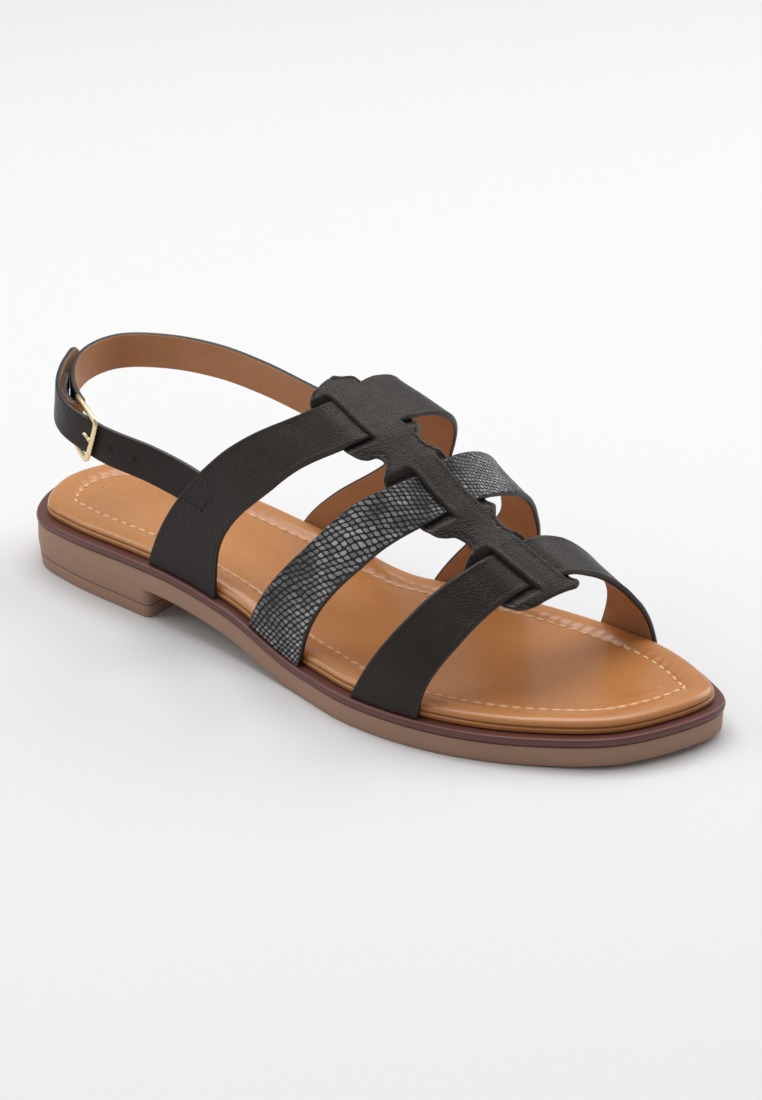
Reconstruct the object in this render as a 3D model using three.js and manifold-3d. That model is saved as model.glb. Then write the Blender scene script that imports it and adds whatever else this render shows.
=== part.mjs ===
import * as THREE from "three";
import Module from "manifold-3d";

const wasm = await Module();
wasm.setup();

// Driving sizes in millimetres. +X runs to the toe, +Y to the inner side of a right foot, +Z up.
const soleLength = 262;
const ballWidth = 91;
const originAhead = 30; // from the back of the heel to the origin
const fitGap = 0.3; // between pieces that meet

const soleThickness = 6.9;
const heelRise = 11.4;
const toeSpring = 2.1;
const heelLength = 66;
const heelTaper = 1.4;
const breastRadius = 3;
const liftThickness = 4.7;

const weltThickness = 2.8;
const weltWidth = 10.7;
const weltBead = 0.5;

const footbedInset = 3.4;
const footbedThickness = 4.7;
const rimWidth = 10;

const strapThickness = 2;
const strapInset = 2.1; // from the sole's edge to the middle of a strap's foot
const instepHeight = 84.8;

const spineHalfWidth = 15;
const spineThickness = 2;
const barHalfWidth = 5.2;
const slitWall = 0.9;
const spineTurn = 0.43; // share of the half turn from the outer to the inner foot of a strap
const lobeReach = 10.5; // from the bar's middle to the middle of a lobe
const barDip = 0.9;
const lobeRise = 0.6;
const neckRise = 0.3; // level of the centre piece between the straps
const barEase = 8; // run over which the bar sinks to the necks
const lobeEase = 2.5; // run over which the lobes rise to the necks

const slingWidth = 13.2;
const slingThickness = 1.8;
const slingHeight = 70.5;
const tailLength = 33;

const buckleHeight = 17.6;
const buckleLength = 15;
const buckleWire = 1.8;
const buckleCorner = 2.2;
const buckleStart = 51.5; // along the sling from its outer end to the front bar
const barRise = 3.4; // how far the front bar stands out beyond the rear bar
const prongWire = 1.7;
const foldLength = 14;
const holePitch = 9.2;
const holeSize = 2.2;
const holesAhead = 2; // holes between the buckle and the strap's sewn end
const holesBehind = 2; // holes in the loose tail
const holeLead = 3; // from the front bar to the hole that the prong sits in
const tailLift = 2.4; // how far the tail's tip stands off the long strap
const tailBend = 8; // length of the tail's end that lifts
const tailGap = 1.6; // from the loose tail to the long strap below it
const strapLeave = 0.45; // share of the way to the buckle where the short strap starts to rise
const foldClearance = 4; // from the fold's end to where the tail has come down
const tipShare = 0.4; // radius of the tail's tip, as a share of the strap's width
const tipNarrow = 0.75; // share of that radius by which the tip narrows

// Half widths of the sole, as shares of ballWidth, at shares of soleLength.
const outlineTable = [
  { at: 0.035, outer: 0.26, inner: 0.247 },
  { at: 0.1, outer: 0.33, inner: 0.303 },
  { at: 0.22, outer: 0.366, inner: 0.299 },
  { at: 0.36, outer: 0.397, inner: 0.305 },
  { at: 0.5, outer: 0.466, inner: 0.354 },
  { at: 0.62, outer: 0.545, inner: 0.432 },
  { at: 0.74, outer: 0.519, inner: 0.481 },
  { at: 0.86, outer: 0.377, inner: 0.467 },
  { at: 0.95, outer: 0.177, inner: 0.359 },
];
const toeSide = 0.22; // sideways place of the toe's tip, as a share of ballWidth

// Rise of the sole's underside: shares of heelRise and of toeSpring.
const undersideTable = [
  { at: 0, heel: 0.84, toe: 0 },
  { at: 0.252, heel: 1, toe: 0 },
  { at: 0.382, heel: 0.7, toe: 0 },
  { at: 0.527, heel: 0, toe: 0 },
  { at: 0.782, heel: 0, toe: 0 },
  { at: 1, heel: 0, toe: 1 },
];

// The space that the straps arch over: height as a share of instepHeight, lean towards the inner
// side as a share of ballWidth, and the roundness of its sides and of its crown.
const archTable = [
  { at: 0.229, height: 0.94, lean: 0.02, sides: 2.8, crown: 2.37 },
  { at: 0.363, height: 0.94, lean: 0.06, sides: 2.78, crown: 2.35 },
  { at: 0.477, height: 1, lean: 0.094, sides: 2.58, crown: 2.19 },
  { at: 0.573, height: 0.93, lean: 0.085, sides: 2.43, crown: 2.06 },
  { at: 0.668, height: 0.72, lean: 0.068, sides: 2.27, crown: 1.93 },
  { at: 0.763, height: 0.517, lean: 0.05, sides: 2.12, crown: 1.8 },
  { at: 0.878, height: 0.263, lean: 0.05, sides: 2.05, crown: 1.75 },
];

// Back and front edges of each strap as shares of soleLength, from its outer foot (turn 0) over
// the instep to its inner foot (turn 1).
const rearStrap = [
  { turn: 0, back: 0.25, front: 0.366 },
  { turn: 0.04, back: 0.267, front: 0.367 },
  { turn: 0.2, back: 0.356, front: 0.45 },
  { turn: 0.4, back: 0.481, front: 0.557 },
  { turn: 0.6, back: 0.499, front: 0.585 },
  { turn: 0.8, back: 0.484, front: 0.554 },
  { turn: 1, back: 0.335, front: 0.442 },
];
const middleStrap = [
  { turn: 0, back: 0.428, front: 0.523 },
  { turn: 0.04, back: 0.447, front: 0.533 },
  { turn: 0.2, back: 0.538, front: 0.609 },
  { turn: 0.4, back: 0.62, front: 0.67 },
  { turn: 0.6, back: 0.635, front: 0.693 },
  { turn: 0.8, back: 0.63, front: 0.686 },
  { turn: 1, back: 0.529, front: 0.635 },
];
const frontStrap = [
  { turn: 0, back: 0.617, front: 0.716 },
  { turn: 0.04, back: 0.631, front: 0.718 },
  { turn: 0.2, back: 0.684, front: 0.748 },
  { turn: 0.4, back: 0.731, front: 0.782 },
  { turn: 0.6, back: 0.755, front: 0.813 },
  { turn: 0.8, back: 0.785, front: 0.845 },
  { turn: 1, back: 0.766, front: 0.858 },
];
const straps = [rearStrap, middleStrap, frontStrap];

// The lobed centre piece: how far it reaches to the outer and inner side and how far its bar lies
// to the inner side, as shares of spineHalfWidth.
const spineTable = [
  { at: 0.458, outer: 0.3, inner: 0.2, shift: 0.05 },
  { at: 0.462, outer: 0.52, inner: 0.22, shift: 0.04 },
  { at: 0.468, outer: 0.7, inner: 0.28, shift: 0.03 },
  { at: 0.477, outer: 0.85, inner: 0.5, shift: 0.02 },
  { at: 0.49, outer: 0.98, inner: 0.68, shift: 0 },
  { at: 0.52, outer: 1.06, inner: 0.74, shift: -0.07 },
  { at: 0.545, outer: 1.12, inner: 0.72, shift: -0.12 },
  { at: 0.562, outer: 1.09, inner: 0.63, shift: -0.13 },
  { at: 0.575, outer: 0.98, inner: 0.57, shift: -0.12 },
  { at: 0.583, outer: 0.8, inner: 0.47, shift: -0.11 },
  { at: 0.59, outer: 0.77, inner: 0.33, shift: -0.1 },
  { at: 0.599, outer: 0.82, inner: 0.33, shift: -0.09 },
  { at: 0.603, outer: 0.95, inner: 0.36, shift: -0.08 },
  { at: 0.61, outer: 1.12, inner: 0.48, shift: -0.07 },
  { at: 0.62, outer: 1.17, inner: 0.65, shift: -0.06 },
  { at: 0.65, outer: 1.15, inner: 0.72, shift: -0.05 },
  { at: 0.673, outer: 1.09, inner: 0.71, shift: -0.03 },
  { at: 0.686, outer: 1.01, inner: 0.68, shift: -0.02 },
  { at: 0.694, outer: 0.86, inner: 0.56, shift: -0.01 },
  { at: 0.7, outer: 0.68, inner: 0.46, shift: 0 },
  { at: 0.712, outer: 0.61, inner: 0.42, shift: 0.01 },
  { at: 0.721, outer: 0.65, inner: 0.46, shift: 0.02 },
  { at: 0.726, outer: 0.9, inner: 0.58, shift: 0.02 },
  { at: 0.733, outer: 1.12, inner: 0.72, shift: 0.03 },
  { at: 0.76, outer: 1.14, inner: 0.78, shift: 0.06 },
  { at: 0.785, outer: 1.09, inner: 0.76, shift: 0.08 },
  { at: 0.796, outer: 1.03, inner: 0.72, shift: 0.09 },
  { at: 0.803, outer: 0.87, inner: 0.64, shift: 0.09 },
  { at: 0.807, outer: 0.62, inner: 0.5, shift: 0.09 },
];
const spineSlant = 0.25; // how far the inner side of the centre piece runs ahead of its outer side

// Middle line of the ankle loop from the outer side round the heel to the inner side: shares of
// soleLength, ballWidth and slingHeight, and the lean of its face in degrees.
const slingTable = [
  { at: 0.247, side: -0.322, height: 0.813, lean: 7 },
  { at: 0.173, side: -0.335, height: 0.872, lean: 4 },
  { at: 0.103, side: -0.264, height: 0.943, lean: 2 },
  { at: 0.064, side: -0.13, height: 0.985, lean: 0 },
  { at: 0.05, side: 0.011, height: 1, lean: 0 },
  { at: 0.06, side: 0.16, height: 1, lean: 0 },
  { at: 0.112, side: 0.262, height: 1.005, lean: 2 },
  { at: 0.183, side: 0.313, height: 1.004, lean: 3 },
  { at: 0.258, side: 0.318, height: 0.989, lean: 4 },
  { at: 0.342, side: 0.29, height: 0.968, lean: 5 },
];
// Where the loop's two ends lie behind the rear strap.
const outerEnd = [
  { at: 0.36, turn: 0.111 },
  { at: 0.302, turn: 0.1165 },
];
const innerEnd = [
  { at: 0.43, turn: 0.8 },
  { at: 0.51, turn: 0.8 },
];
const outerEndLean = 8;
const innerEndLean = 8.5;

const soleStations = 34;
const heelStations = 22;
const strapRows = 28;
const spineRows = 54;
const edgeShare = 0.6; // thickness left at a folded edge

const leatherBlack = { color: 0x2a2523, roughness: 0.45, metalness: 0 };
const looks = {
  outsole: { color: 0x9b7765, roughness: 0.6, metalness: 0 },
  heel_lift: { color: 0x93705f, roughness: 0.65, metalness: 0 },
  welt: { color: 0x5b2f2b, roughness: 0.45, metalness: 0 },
  footbed: { color: 0xb8752f, roughness: 0.35, metalness: 0 },
  upper: leatherBlack,
  heel_strap: leatherBlack,
  buckle_end_strap: leatherBlack,
  buckle_frame: { color: 0xd8bd8a, roughness: 0.25, metalness: 1 },
  buckle_prong: { color: 0xd8bd8a, roughness: 0.25, metalness: 1 },
};

const mix = THREE.MathUtils.lerp;
const shares = (count) => Array.from({ length: count + 1 }, (_, i) => i / count);

// A smooth curve through one column of a table that never swings past its rows.
function smoothColumn(rows, key, column) {
  const xs = rows.map((row) => row[key]);
  const ys = rows.map((row) => row[column]);
  const last = xs.length - 1;
  const widths = xs.slice(1).map((x, i) => x - xs[i]);
  const rises = widths.map((width, i) => (ys[i + 1] - ys[i]) / width);
  const slopes = xs.map((_, i) => {
    if (i === 0) return rises[0];
    if (i === last) return rises[last - 1];
    if (rises[i - 1] * rises[i] <= 0) return 0;
    const a = 2 * widths[i] + widths[i - 1];
    const b = widths[i] + 2 * widths[i - 1];
    return (a + b) / (a / rises[i - 1] + b / rises[i]);
  });
  return (at) => {
    const x = THREE.MathUtils.clamp(at, xs[0], xs[last]);
    const i = Math.min(last - 1, Math.max(0, xs.findIndex((edge) => edge > x) - 1));
    const span = xs[last] === x ? last - 1 : i;
    const t = (x - xs[span]) / widths[span];
    const rest = 1 - t;
    return (
      ys[span] * rest * rest * (1 + 2 * t) +
      ys[span + 1] * t * t * (3 - 2 * t) +
      widths[span] * t * rest * (slopes[span] * rest - slopes[span + 1] * t)
    );
  };
}

function smoothTable(rows, key = "at") {
  const columns = Object.keys(rows[0]).filter((name) => name !== key);
  const curves = columns.map((name) => [name, smoothColumn(rows, key, name)]);
  return Object.fromEntries(curves);
}

// A closed solid from points and triangles, turned so that its faces point out.
function solidFrom(points, faces) {
  const vertProperties = new Float32Array(points.flatMap((p) => [p.x, p.y, p.z]));
  const build = (list) => {
    const triVerts = new Uint32Array(list.flat());
    return new wasm.Manifold(new wasm.Mesh({ numProp: 3, vertProperties, triVerts }));
  };
  const solid = build(faces);
  if (solid.volume() > 0) return solid;
  return build(faces.map(([a, b, c]) => [a, c, b]));
}

// Joins rings of as many points each. An open run gets end faces, laid as strips across.
function sweep(rings, closed) {
  const sides = rings[0].length;
  const faces = [];
  const spans = closed ? rings.length : rings.length - 1;
  for (let i = 0; i < spans; i++) {
    const a = i * sides;
    const b = ((i + 1) % rings.length) * sides;
    for (let j = 0; j < sides; j++) {
      const k = (j + 1) % sides;
      faces.push([a + j, b + j, b + k], [a + j, b + k, a + k]);
    }
  }
  if (!closed) {
    const end = (rings.length - 1) * sides;
    for (let j = 0; j < sides / 2 - 1; j++) {
      const across = [j, j + 1, sides - 2 - j, sides - 1 - j];
      const [a, b, c, d] = across;
      faces.push([a, b, c], [a, c, d]);
      faces.push([end + a, end + c, end + b], [end + a, end + d, end + c]);
    }
  }
  return solidFrom(rings.flat(), faces);
}

// The sole's outline from above, dense enough to offset.
function makeOutline() {
  const row = (side, name) => new THREE.Vector3(side.at * soleLength, side[name] * ballWidth, 0);
  const inner = outlineTable.map((side) => row(side, "inner"));
  const outer = outlineTable.map((side) => row(side, "outer").multiply(new THREE.Vector3(1, -1, 1)));
  const heel = new THREE.Vector3(0, 0, 0);
  const toe = new THREE.Vector3(soleLength, toeSide * ballWidth, 0);
  const ring = [heel, ...inner, toe, ...outer.reverse()];
  return new THREE.CatmullRomCurve3(ring, true, "centripetal").getPoints(800).slice(0, -1);
}
const outline = makeOutline();

// Both edges of the sole as functions of x, moved in by an inset.
const edgeCache = new Map();
function soleEdges(inset) {
  if (edgeCache.has(inset)) return edgeCache.get(inset);
  const ring = outline.map((p, i) => {
    const before = outline.at(i - 1);
    const after = outline[(i + 1) % outline.length];
    const along = new THREE.Vector3().subVectors(after, before).normalize();
    return new THREE.Vector3(p.x + along.y * inset, p.y - along.x * inset, 0);
  });
  const xs = ring.map((p) => p.x);
  const heelAt = xs.indexOf(Math.min(...xs));
  const toeAt = xs.indexOf(Math.max(...xs));
  const turned = [...ring.slice(heelAt), ...ring.slice(0, heelAt + 1)];
  const toeIndex = (toeAt - heelAt + ring.length) % ring.length;
  const side = (points) => (x) => {
    const i = Math.max(1, points.findIndex((p) => p.x >= x));
    const a = points[i - 1];
    const b = points[i];
    return mix(a.y, b.y, THREE.MathUtils.clamp((x - a.x) / (b.x - a.x || 1), 0, 1));
  };
  const edges = {
    heel: ring[heelAt],
    toe: ring[toeAt],
    inner: side(turned.slice(0, toeIndex + 1)),
    outer: side(turned.slice(toeIndex).reverse()),
  };
  edgeCache.set(inset, edges);
  return edges;
}

const underside = (() => {
  const table = smoothTable(undersideTable);
  return (x) => heelRise * table.heel(x / soleLength) + toeSpring * table.toe(x / soleLength);
})();
const weltBase = soleThickness + fitGap;
const weltTop = weltBase + weltThickness;
const footbedBase = weltTop + fitGap;

// One ring of points at an inset, from the heel along the outer side to the front and back along
// the inner side. With a breast it stops there, square, with its corners rounded.
function soleRing(inset, height, breast) {
  const edges = soleEdges(inset);
  const start = edges.heel.x;
  const end = breast ?? edges.toe.x;
  const count = breast ? heelStations : soleStations;
  const corner = (x) => {
    const into = breast ? Math.max(0, x - (breast - breastRadius)) : 0;
    return breastRadius - Math.sqrt(Math.max(0, breastRadius ** 2 - into ** 2));
  };
  const xs = shares(count).map((t) => mix(start, end, (1 - Math.cos(Math.PI * t)) / 2));
  const outer = xs.map((x) => new THREE.Vector3(x, edges.outer(x) + corner(x), height(x)));
  const inner = xs.map((x) => new THREE.Vector3(x, edges.inner(x) - corner(x), height(x)));
  outer[0] = new THREE.Vector3(start, edges.heel.y, height(start));
  if (!breast) outer[count] = new THREE.Vector3(end, edges.toe.y, height(end));
  const back = inner.slice(1, breast ? count + 1 : count).reverse();
  return [...outer, ...back];
}

// A stack of rings, closed at the bottom and the top.
function ringStack(rows, breast) {
  const rings = rows.map((row) => soleRing(row.inset, row.height, breast));
  const count = rings[0].length;
  const stations = breast ? heelStations : soleStations;
  const faces = [];
  for (let i = 0; i < rings.length - 1; i++) {
    for (let j = 0; j < count; j++) {
      const k = (j + 1) % count;
      const a = i * count;
      const b = a + count;
      faces.push([a + j, a + k, b + k], [a + j, b + k, b + j]);
    }
  }
  const top = (rings.length - 1) * count;
  for (let k = 0; k < stations; k++) {
    const far = (count - k - 1) % count;
    const near = (count - k) % count;
    if (k + 1 !== far) {
      faces.push([top + k, top + k + 1, top + far], [k, far, k + 1]);
    }
    if (k !== near) {
      faces.push([top + k, top + far, top + near], [k, near, far]);
    }
  }
  return solidFrom(rings.flat(), faces);
}

const above = (lift) => (x) => underside(x) + lift;
const flat = (z) => () => z;

function makeOutsole() {
  const plateau = weltWidth + fitGap;
  const layer = ringStack([
    { inset: 0, height: above(0) },
    { inset: 0, height: above(soleThickness - 0.4) },
    { inset: 0.4, height: above(soleThickness) },
    { inset: plateau, height: above(soleThickness) },
    { inset: plateau, height: above(weltTop) },
  ]);
  const blockStart = liftThickness + fitGap;
  const flush = 0.04;
  const block = ringStack(
    [
      { inset: heelTaper * (1 - blockStart / heelRise), height: flat(blockStart) },
      { inset: flush, height: above(0) },
      { inset: flush, height: above(soleThickness / 2) },
    ],
    heelLength,
  );
  return layer.add(block);
}

function makeHeelLift() {
  const edge = 0.4;
  return ringStack(
    [
      { inset: heelTaper + edge, height: flat(0) },
      { inset: heelTaper, height: flat(edge) },
      { inset: heelTaper * (1 - liftThickness / heelRise), height: flat(liftThickness) },
    ],
    heelLength,
  );
}

function makeWelt() {
  const rows = [
    { inset: weltBead, rise: 0 },
    { inset: -weltBead, rise: 0.25 },
    { inset: -weltBead, rise: 0.72 },
    { inset: weltBead, rise: 1 },
    { inset: weltWidth, rise: 1 },
    { inset: weltWidth, rise: 0 },
  ];
  const rings = rows.map((row) => soleRing(row.inset, above(weltBase + row.rise * weltThickness)));
  return sweep(rings, true);
}

// A padded rim with a sewn groove inside it and a shallow dish in the middle.
function makeFootbed() {
  const rows = [
    { share: 0.02, rise: 0 },
    { share: 0, rise: 0.32 },
    { share: 0.03, rise: 0.66 },
    { share: 0.13, rise: 0.9 },
    { share: 0.34, rise: 1 },
    { share: 0.64, rise: 0.96 },
    { share: 0.87, rise: 0.8 },
    { share: 1, rise: 0.66 },
    { share: 1.12, rise: 0.7 },
    { share: 1.55, rise: 0.64 },
  ];
  return ringStack(
    rows.map((row) => ({
      inset: footbedInset + row.share * rimWidth,
      height: above(footbedBase + row.rise * footbedThickness),
    })),
  );
}

const arch = smoothTable(archTable);

// A point of the arched surface: x along the sole, turn from 0 (outer foot) to 1 (inner foot).
function archPoint(x, turn) {
  const at = x / soleLength;
  const edges = soleEdges(strapInset);
  const middle = (edges.outer(x) + edges.inner(x)) / 2;
  const half = (edges.inner(x) - edges.outer(x)) / 2;
  const angle = Math.PI * THREE.MathUtils.clamp(turn, 0, 1);
  const cosine = Math.cos(angle);
  const sine = Math.max(0, Math.sin(angle));
  const across = Math.sign(cosine) * Math.abs(cosine) ** (2 / arch.sides(at));
  const y = middle - half * across + arch.lean(at) * ballWidth * sine ** 2;
  const rise = arch.height(at) * instepHeight * sine ** (2 / arch.crown(at));
  return new THREE.Vector3(x, y, underside(x) + footbedBase + rise);
}

function archNormal(x, turn) {
  const step = 0.002;
  const low = THREE.MathUtils.clamp(turn - step, 0, 1 - 2 * step);
  const over = archPoint(x, low + 2 * step).sub(archPoint(x, low));
  const along = archPoint(x + 0.5, turn).sub(archPoint(x - 0.5, turn));
  return along.cross(over).normalize();
}

const raised = (x, turn, level) => archPoint(x, turn).addScaledVector(archNormal(x, turn), level);

// Turns that cut a run over the arch into even lengths.
function evenTurns(xAt, count) {
  const fine = shares(300);
  const points = fine.map((turn) => archPoint(xAt(turn), turn));
  const lengths = [0];
  for (let i = 1; i < points.length; i++) {
    lengths.push(lengths[i - 1] + points[i].distanceTo(points[i - 1]));
  }
  return shares(count).map((share) => {
    const goal = share * lengths.at(-1);
    const i = Math.max(1, lengths.findIndex((length) => length >= goal - 1e-9));
    const t = (goal - lengths[i - 1]) / (lengths[i] - lengths[i - 1]);
    return mix(fine[i - 1], fine[i], t);
  });
}

const strapEdges = straps.map((rows) => {
  const table = smoothTable(rows, "turn");
  return {
    back: (turn) => table.back(turn) * soleLength,
    front: (turn) => table.front(turn) * soleLength,
  };
});

function makeStrap(edges) {
  const columns = [
    { share: 0, thick: edgeShare },
    { share: 0.05, thick: 1 },
    { share: 0.35, thick: 1 },
    { share: 0.65, thick: 1 },
    { share: 0.95, thick: 1 },
    { share: 1, thick: edgeShare },
  ];
  const turns = evenTurns((turn) => (edges.back(turn) + edges.front(turn)) / 2, strapRows);
  const rings = turns.map((turn) => {
    const face = (sign) =>
      columns.map(({ share, thick }) => {
        const x = mix(edges.back(turn), edges.front(turn), share);
        return raised(x, turn, threadLevel(x, turn) + (sign * thick * strapThickness) / 2);
      });
    return [...face(1), ...face(-1).reverse()];
  });
  return sweep(rings, false);
}

const spineCurves = smoothTable(spineTable);

// How far a point lies from the centre piece's guide line, at the same x.
function asideOf(x, turn) {
  const steps = 12;
  const points = shares(steps).map((share) => archPoint(x, mix(spineTurn, turn, share)));
  const lengths = points.slice(1).map((p, i) => p.distanceTo(points[i]));
  return Math.sign(turn - spineTurn) * lengths.reduce((sum, length) => sum + length, 0);
}

// A strap dips where it runs under the bar and rises a little over the lobes beside it.
function threadLevel(x, turn) {
  const bell = (away, spread) => Math.exp(-((away / spread) ** 2));
  const aside = asideOf(x, turn);
  const middle = spineCurves.shift((x - spineSlant * aside) / soleLength) * spineHalfWidth;
  const away = Math.abs(aside - middle);
  const overLobe = lobeRise * bell(away - lobeReach, lobeReach * 0.4);
  return overLobe - barDip * bell(away, barHalfWidth);
}

// The turn that lies a given distance from the centre piece's middle line.
function turnAside(x, distance) {
  const step = 0.004;
  let turn = spineTurn;
  let travelled = 0;
  while (travelled < Math.abs(distance)) {
    const next = turn + Math.sign(distance) * step;
    const length = archPoint(x, next).distanceTo(archPoint(x, turn));
    if (travelled + length >= Math.abs(distance)) {
      return mix(turn, next, (Math.abs(distance) - travelled) / length);
    }
    travelled += length;
    turn = next;
  }
  return turn;
}

// 1 where a strap passes, easing to 0 over a run beside it.
function strapCover(x, turn, run) {
  const covers = strapEdges.map(({ back, front }) => {
    const into = Math.min(x - back(turn), front(turn) - x);
    return THREE.MathUtils.smoothstep(into, -run, 0);
  });
  return Math.max(...covers);
}

// The straps thread under its middle bar and over its lobes.
function makeSpine() {
  const start = spineTable[0].at * soleLength;
  const end = spineTable.at(-1).at * soleLength;
  const pressed = 0.2; // how far the bar and the lobes sink into the straps
  const barLevel = (strapThickness + spineThickness) / 2 - barDip - pressed;
  const lobeLevel = lobeRise - (strapThickness + spineThickness) / 2 + pressed;
  const edge = 0.8;
  const rings = shares(spineRows).map((share) => {
    const along = mix(start, end, share);
    const row = (name) => spineCurves[name](along / soleLength) * spineHalfWidth;
    const shift = row("shift");
    const side = (reach, towards) => {
      const wall = Math.min(barHalfWidth + towards * shift + slitWall, reach - 1);
      return [wall - slitWall, wall, (wall + reach - edge) / 2, reach - edge, reach];
    };
    const outer = side(row("outer"), -1).map((t) => -t);
    const inner = side(row("inner"), 1);
    const places = [...outer.reverse(), (outer.at(-1) + inner[0]) / 2, ...inner];
    const face = (sign) =>
      places.map((t, i) => {
        const x = along + spineSlant * t;
        const turn = turnAside(x, t);
        const onBar = t >= outer.at(-1) && t <= inner[0];
        const cover = strapCover(x, turn, onBar ? barEase : lobeEase);
        const level = mix(neckRise, onBar ? barLevel : lobeLevel, cover);
        const thick = i === 0 || i === places.length - 1 ? edgeShare : 1;
        return raised(x, turn, level + (sign * thick * spineThickness) / 2);
      });
    return [...face(1), ...face(-1).reverse()];
  });
  return sweep(rings, false);
}

function makeUpper() {
  return strapEdges.map(makeStrap).reduce((all, strap) => all.add(strap), makeSpine());
}

// The ankle loop's middle line, both ends lying against the inside of the rear strap.
const sling = (() => {
  const behind = -(strapThickness + slingThickness) / 2 - fitGap - 0.2;
  const tuck = ({ at, turn }) => raised(at * soleLength, turn, behind);
  const free = slingTable.map(
    ({ at, side, height }) =>
      new THREE.Vector3(at * soleLength, side * ballWidth, height * slingHeight),
  );
  const points = [...outerEnd.map(tuck), ...free, ...innerEnd.map(tuck)];
  const leans = [
    outerEndLean,
    outerEndLean,
    ...slingTable.map((row) => row.lean),
    innerEndLean,
    innerEndLean,
  ];
  const curve = new THREE.CatmullRomCurve3(points, false, "centripetal");
  curve.arcLengthDivisions = 600;
  const length = curve.getLength();
  const knots = points.length - 1;
  return {
    length,
    // A point at a run along the loop, a distance out from it and a distance up its face.
    place(run, out, up) {
      const u = THREE.MathUtils.clamp(run / length, 0, 1);
      const t = curve.getUtoTmapping(u);
      const point = curve.getPoint(t);
      const along = curve.getTangent(t);
      const knot = Math.min(knots - 1, Math.floor(t * knots));
      const lean = THREE.MathUtils.degToRad(mix(leans[knot], leans[knot + 1], t * knots - knot));
      const rise = new THREE.Vector3(0, 0, 1).addScaledVector(along, -along.z).normalize();
      const outward = new THREE.Vector3().crossVectors(rise, along).normalize();
      rise.applyAxisAngle(along, lean);
      outward.applyAxisAngle(along, lean);
      return point.addScaledVector(outward, out).addScaledVector(rise, up);
    },
  };
})();

const barGap = buckleWire / 2 + fitGap;
const frontBar = buckleStart;
const rearBar = buckleStart + buckleLength;
const rearBarOut = barGap + slingThickness / 2;
const frontBarOut = rearBarOut + barRise;

// A flat strap along places of the loop, each a run, a distance out and the slope of its face.
function ribbon(steps, halfWidth) {
  const edge = 0.8;
  const rings = steps.map(({ run, out, slope, narrow = 0 }) => {
    const half = halfWidth - narrow;
    const thick = slingThickness / 2;
    const corner = (up, level) =>
      sling.place(run - level * Math.sin(slope), out + level * Math.cos(slope), up);
    return [
      corner(half, 0),
      corner(half - edge, thick),
      corner(edge - half, thick),
      corner(-half, 0),
      corner(edge - half, -thick),
      corner(half - edge, -thick),
    ];
  });
  return sweep(rings, false);
}

// Adds to each step the slope of its route in the plane of run and out.
function withSlopes(steps) {
  return steps.map((step, i) => {
    const before = steps[Math.max(0, i - 1)];
    const after = steps[Math.min(steps.length - 1, i + 1)];
    return { ...step, slope: Math.atan2(after.out - before.out, after.run - before.run) };
  });
}

// The end of a strap, rounded in plan.
const tip = (share, radius) => radius * (1 - Math.sqrt(Math.max(0, 1 - share ** 2)));

// The long strap: from behind the rear strap's inner side round the heel to the buckle, where it
// folds round the rear bar and is sewn back on itself.
function makeHeelStrap() {
  const steps = [];
  const foldGap = slingThickness + fitGap;
  for (const share of shares(8)) {
    const settle = THREE.MathUtils.smoothstep(share, 0, 0.8);
    steps.push({
      run: rearBar + foldLength * (1 - share),
      out: mix(foldGap, 2 * rearBarOut, settle),
    });
  }
  const turns = 8;
  for (let i = 1; i < turns; i++) {
    const angle = (Math.PI * i) / turns;
    steps.push({
      run: rearBar - rearBarOut * Math.sin(angle),
      out: rearBarOut + rearBarOut * Math.cos(angle),
    });
  }
  for (const share of shares(38)) {
    steps.push({ run: mix(rearBar, sling.length, share), out: 0 });
  }
  const strap = ribbon(withSlopes(steps), slingWidth / 2);
  return strap.subtract(prongRing(prongWire / 2 + fitGap));
}

const tailStart = rearBar + foldLength;
const clearOfFold = 2 * rearBarOut + slingThickness + fitGap;

// The short strap: from behind the rear strap's outer side, under the front bar, over the rear
// bar and on as a loose tail outside the long strap.
function makeBuckleEndStrap() {
  const route = smoothColumn(
    [
      { run: 0, out: 0 },
      { run: frontBar * strapLeave, out: 0 },
      { run: frontBar, out: frontBarOut - barGap - slingThickness / 2 },
      { run: rearBar, out: clearOfFold },
      { run: tailStart + foldClearance, out: 2 * (slingThickness + fitGap) },
      { run: rearBar + tailLength - tailBend, out: slingThickness + fitGap + tailGap },
      { run: rearBar + tailLength, out: slingThickness + fitGap + tailLift },
    ],
    "run",
    "out",
  );
  const end = rearBar + tailLength;
  const steps = shares(38).map((share) => ({ run: share * end, out: route(share * end) }));
  const tipRadius = slingWidth * tipShare;
  const rounded = steps.map((step) => {
    const into = Math.max(0, step.run - (end - tipRadius)) / tipRadius;
    return { ...step, narrow: tipNarrow * tip(into, tipRadius) };
  });
  let strap = ribbon(withSlopes(rounded), slingWidth / 2);
  for (let i = 0; i < holesAhead; i++) {
    strap = strap.subtract(holeAt(frontBar + holeLead - holePitch * (i + 1), route));
  }
  for (let i = 0; i < holesBehind; i++) {
    strap = strap.subtract(holeAt(frontBar + holeLead + holePitch * (i + 2), route));
  }
  return strap.subtract(prongTongue(prongWire / 2 + fitGap));
}

// A punched hole, square to the strap's face.
function holeAt(run, route) {
  const sides = 10;
  const rings = [-2, 2].map((level) =>
    shares(sides)
      .slice(0, -1)
      .map((share) => {
        const angle = 2 * Math.PI * share;
        const radius = holeSize / 2;
        const x = run + radius * Math.cos(angle);
        return sling.place(x, route(run) + level * slingThickness * 0.6, radius * Math.sin(angle));
      }),
  );
  return sweep(rings, false);
}

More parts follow.
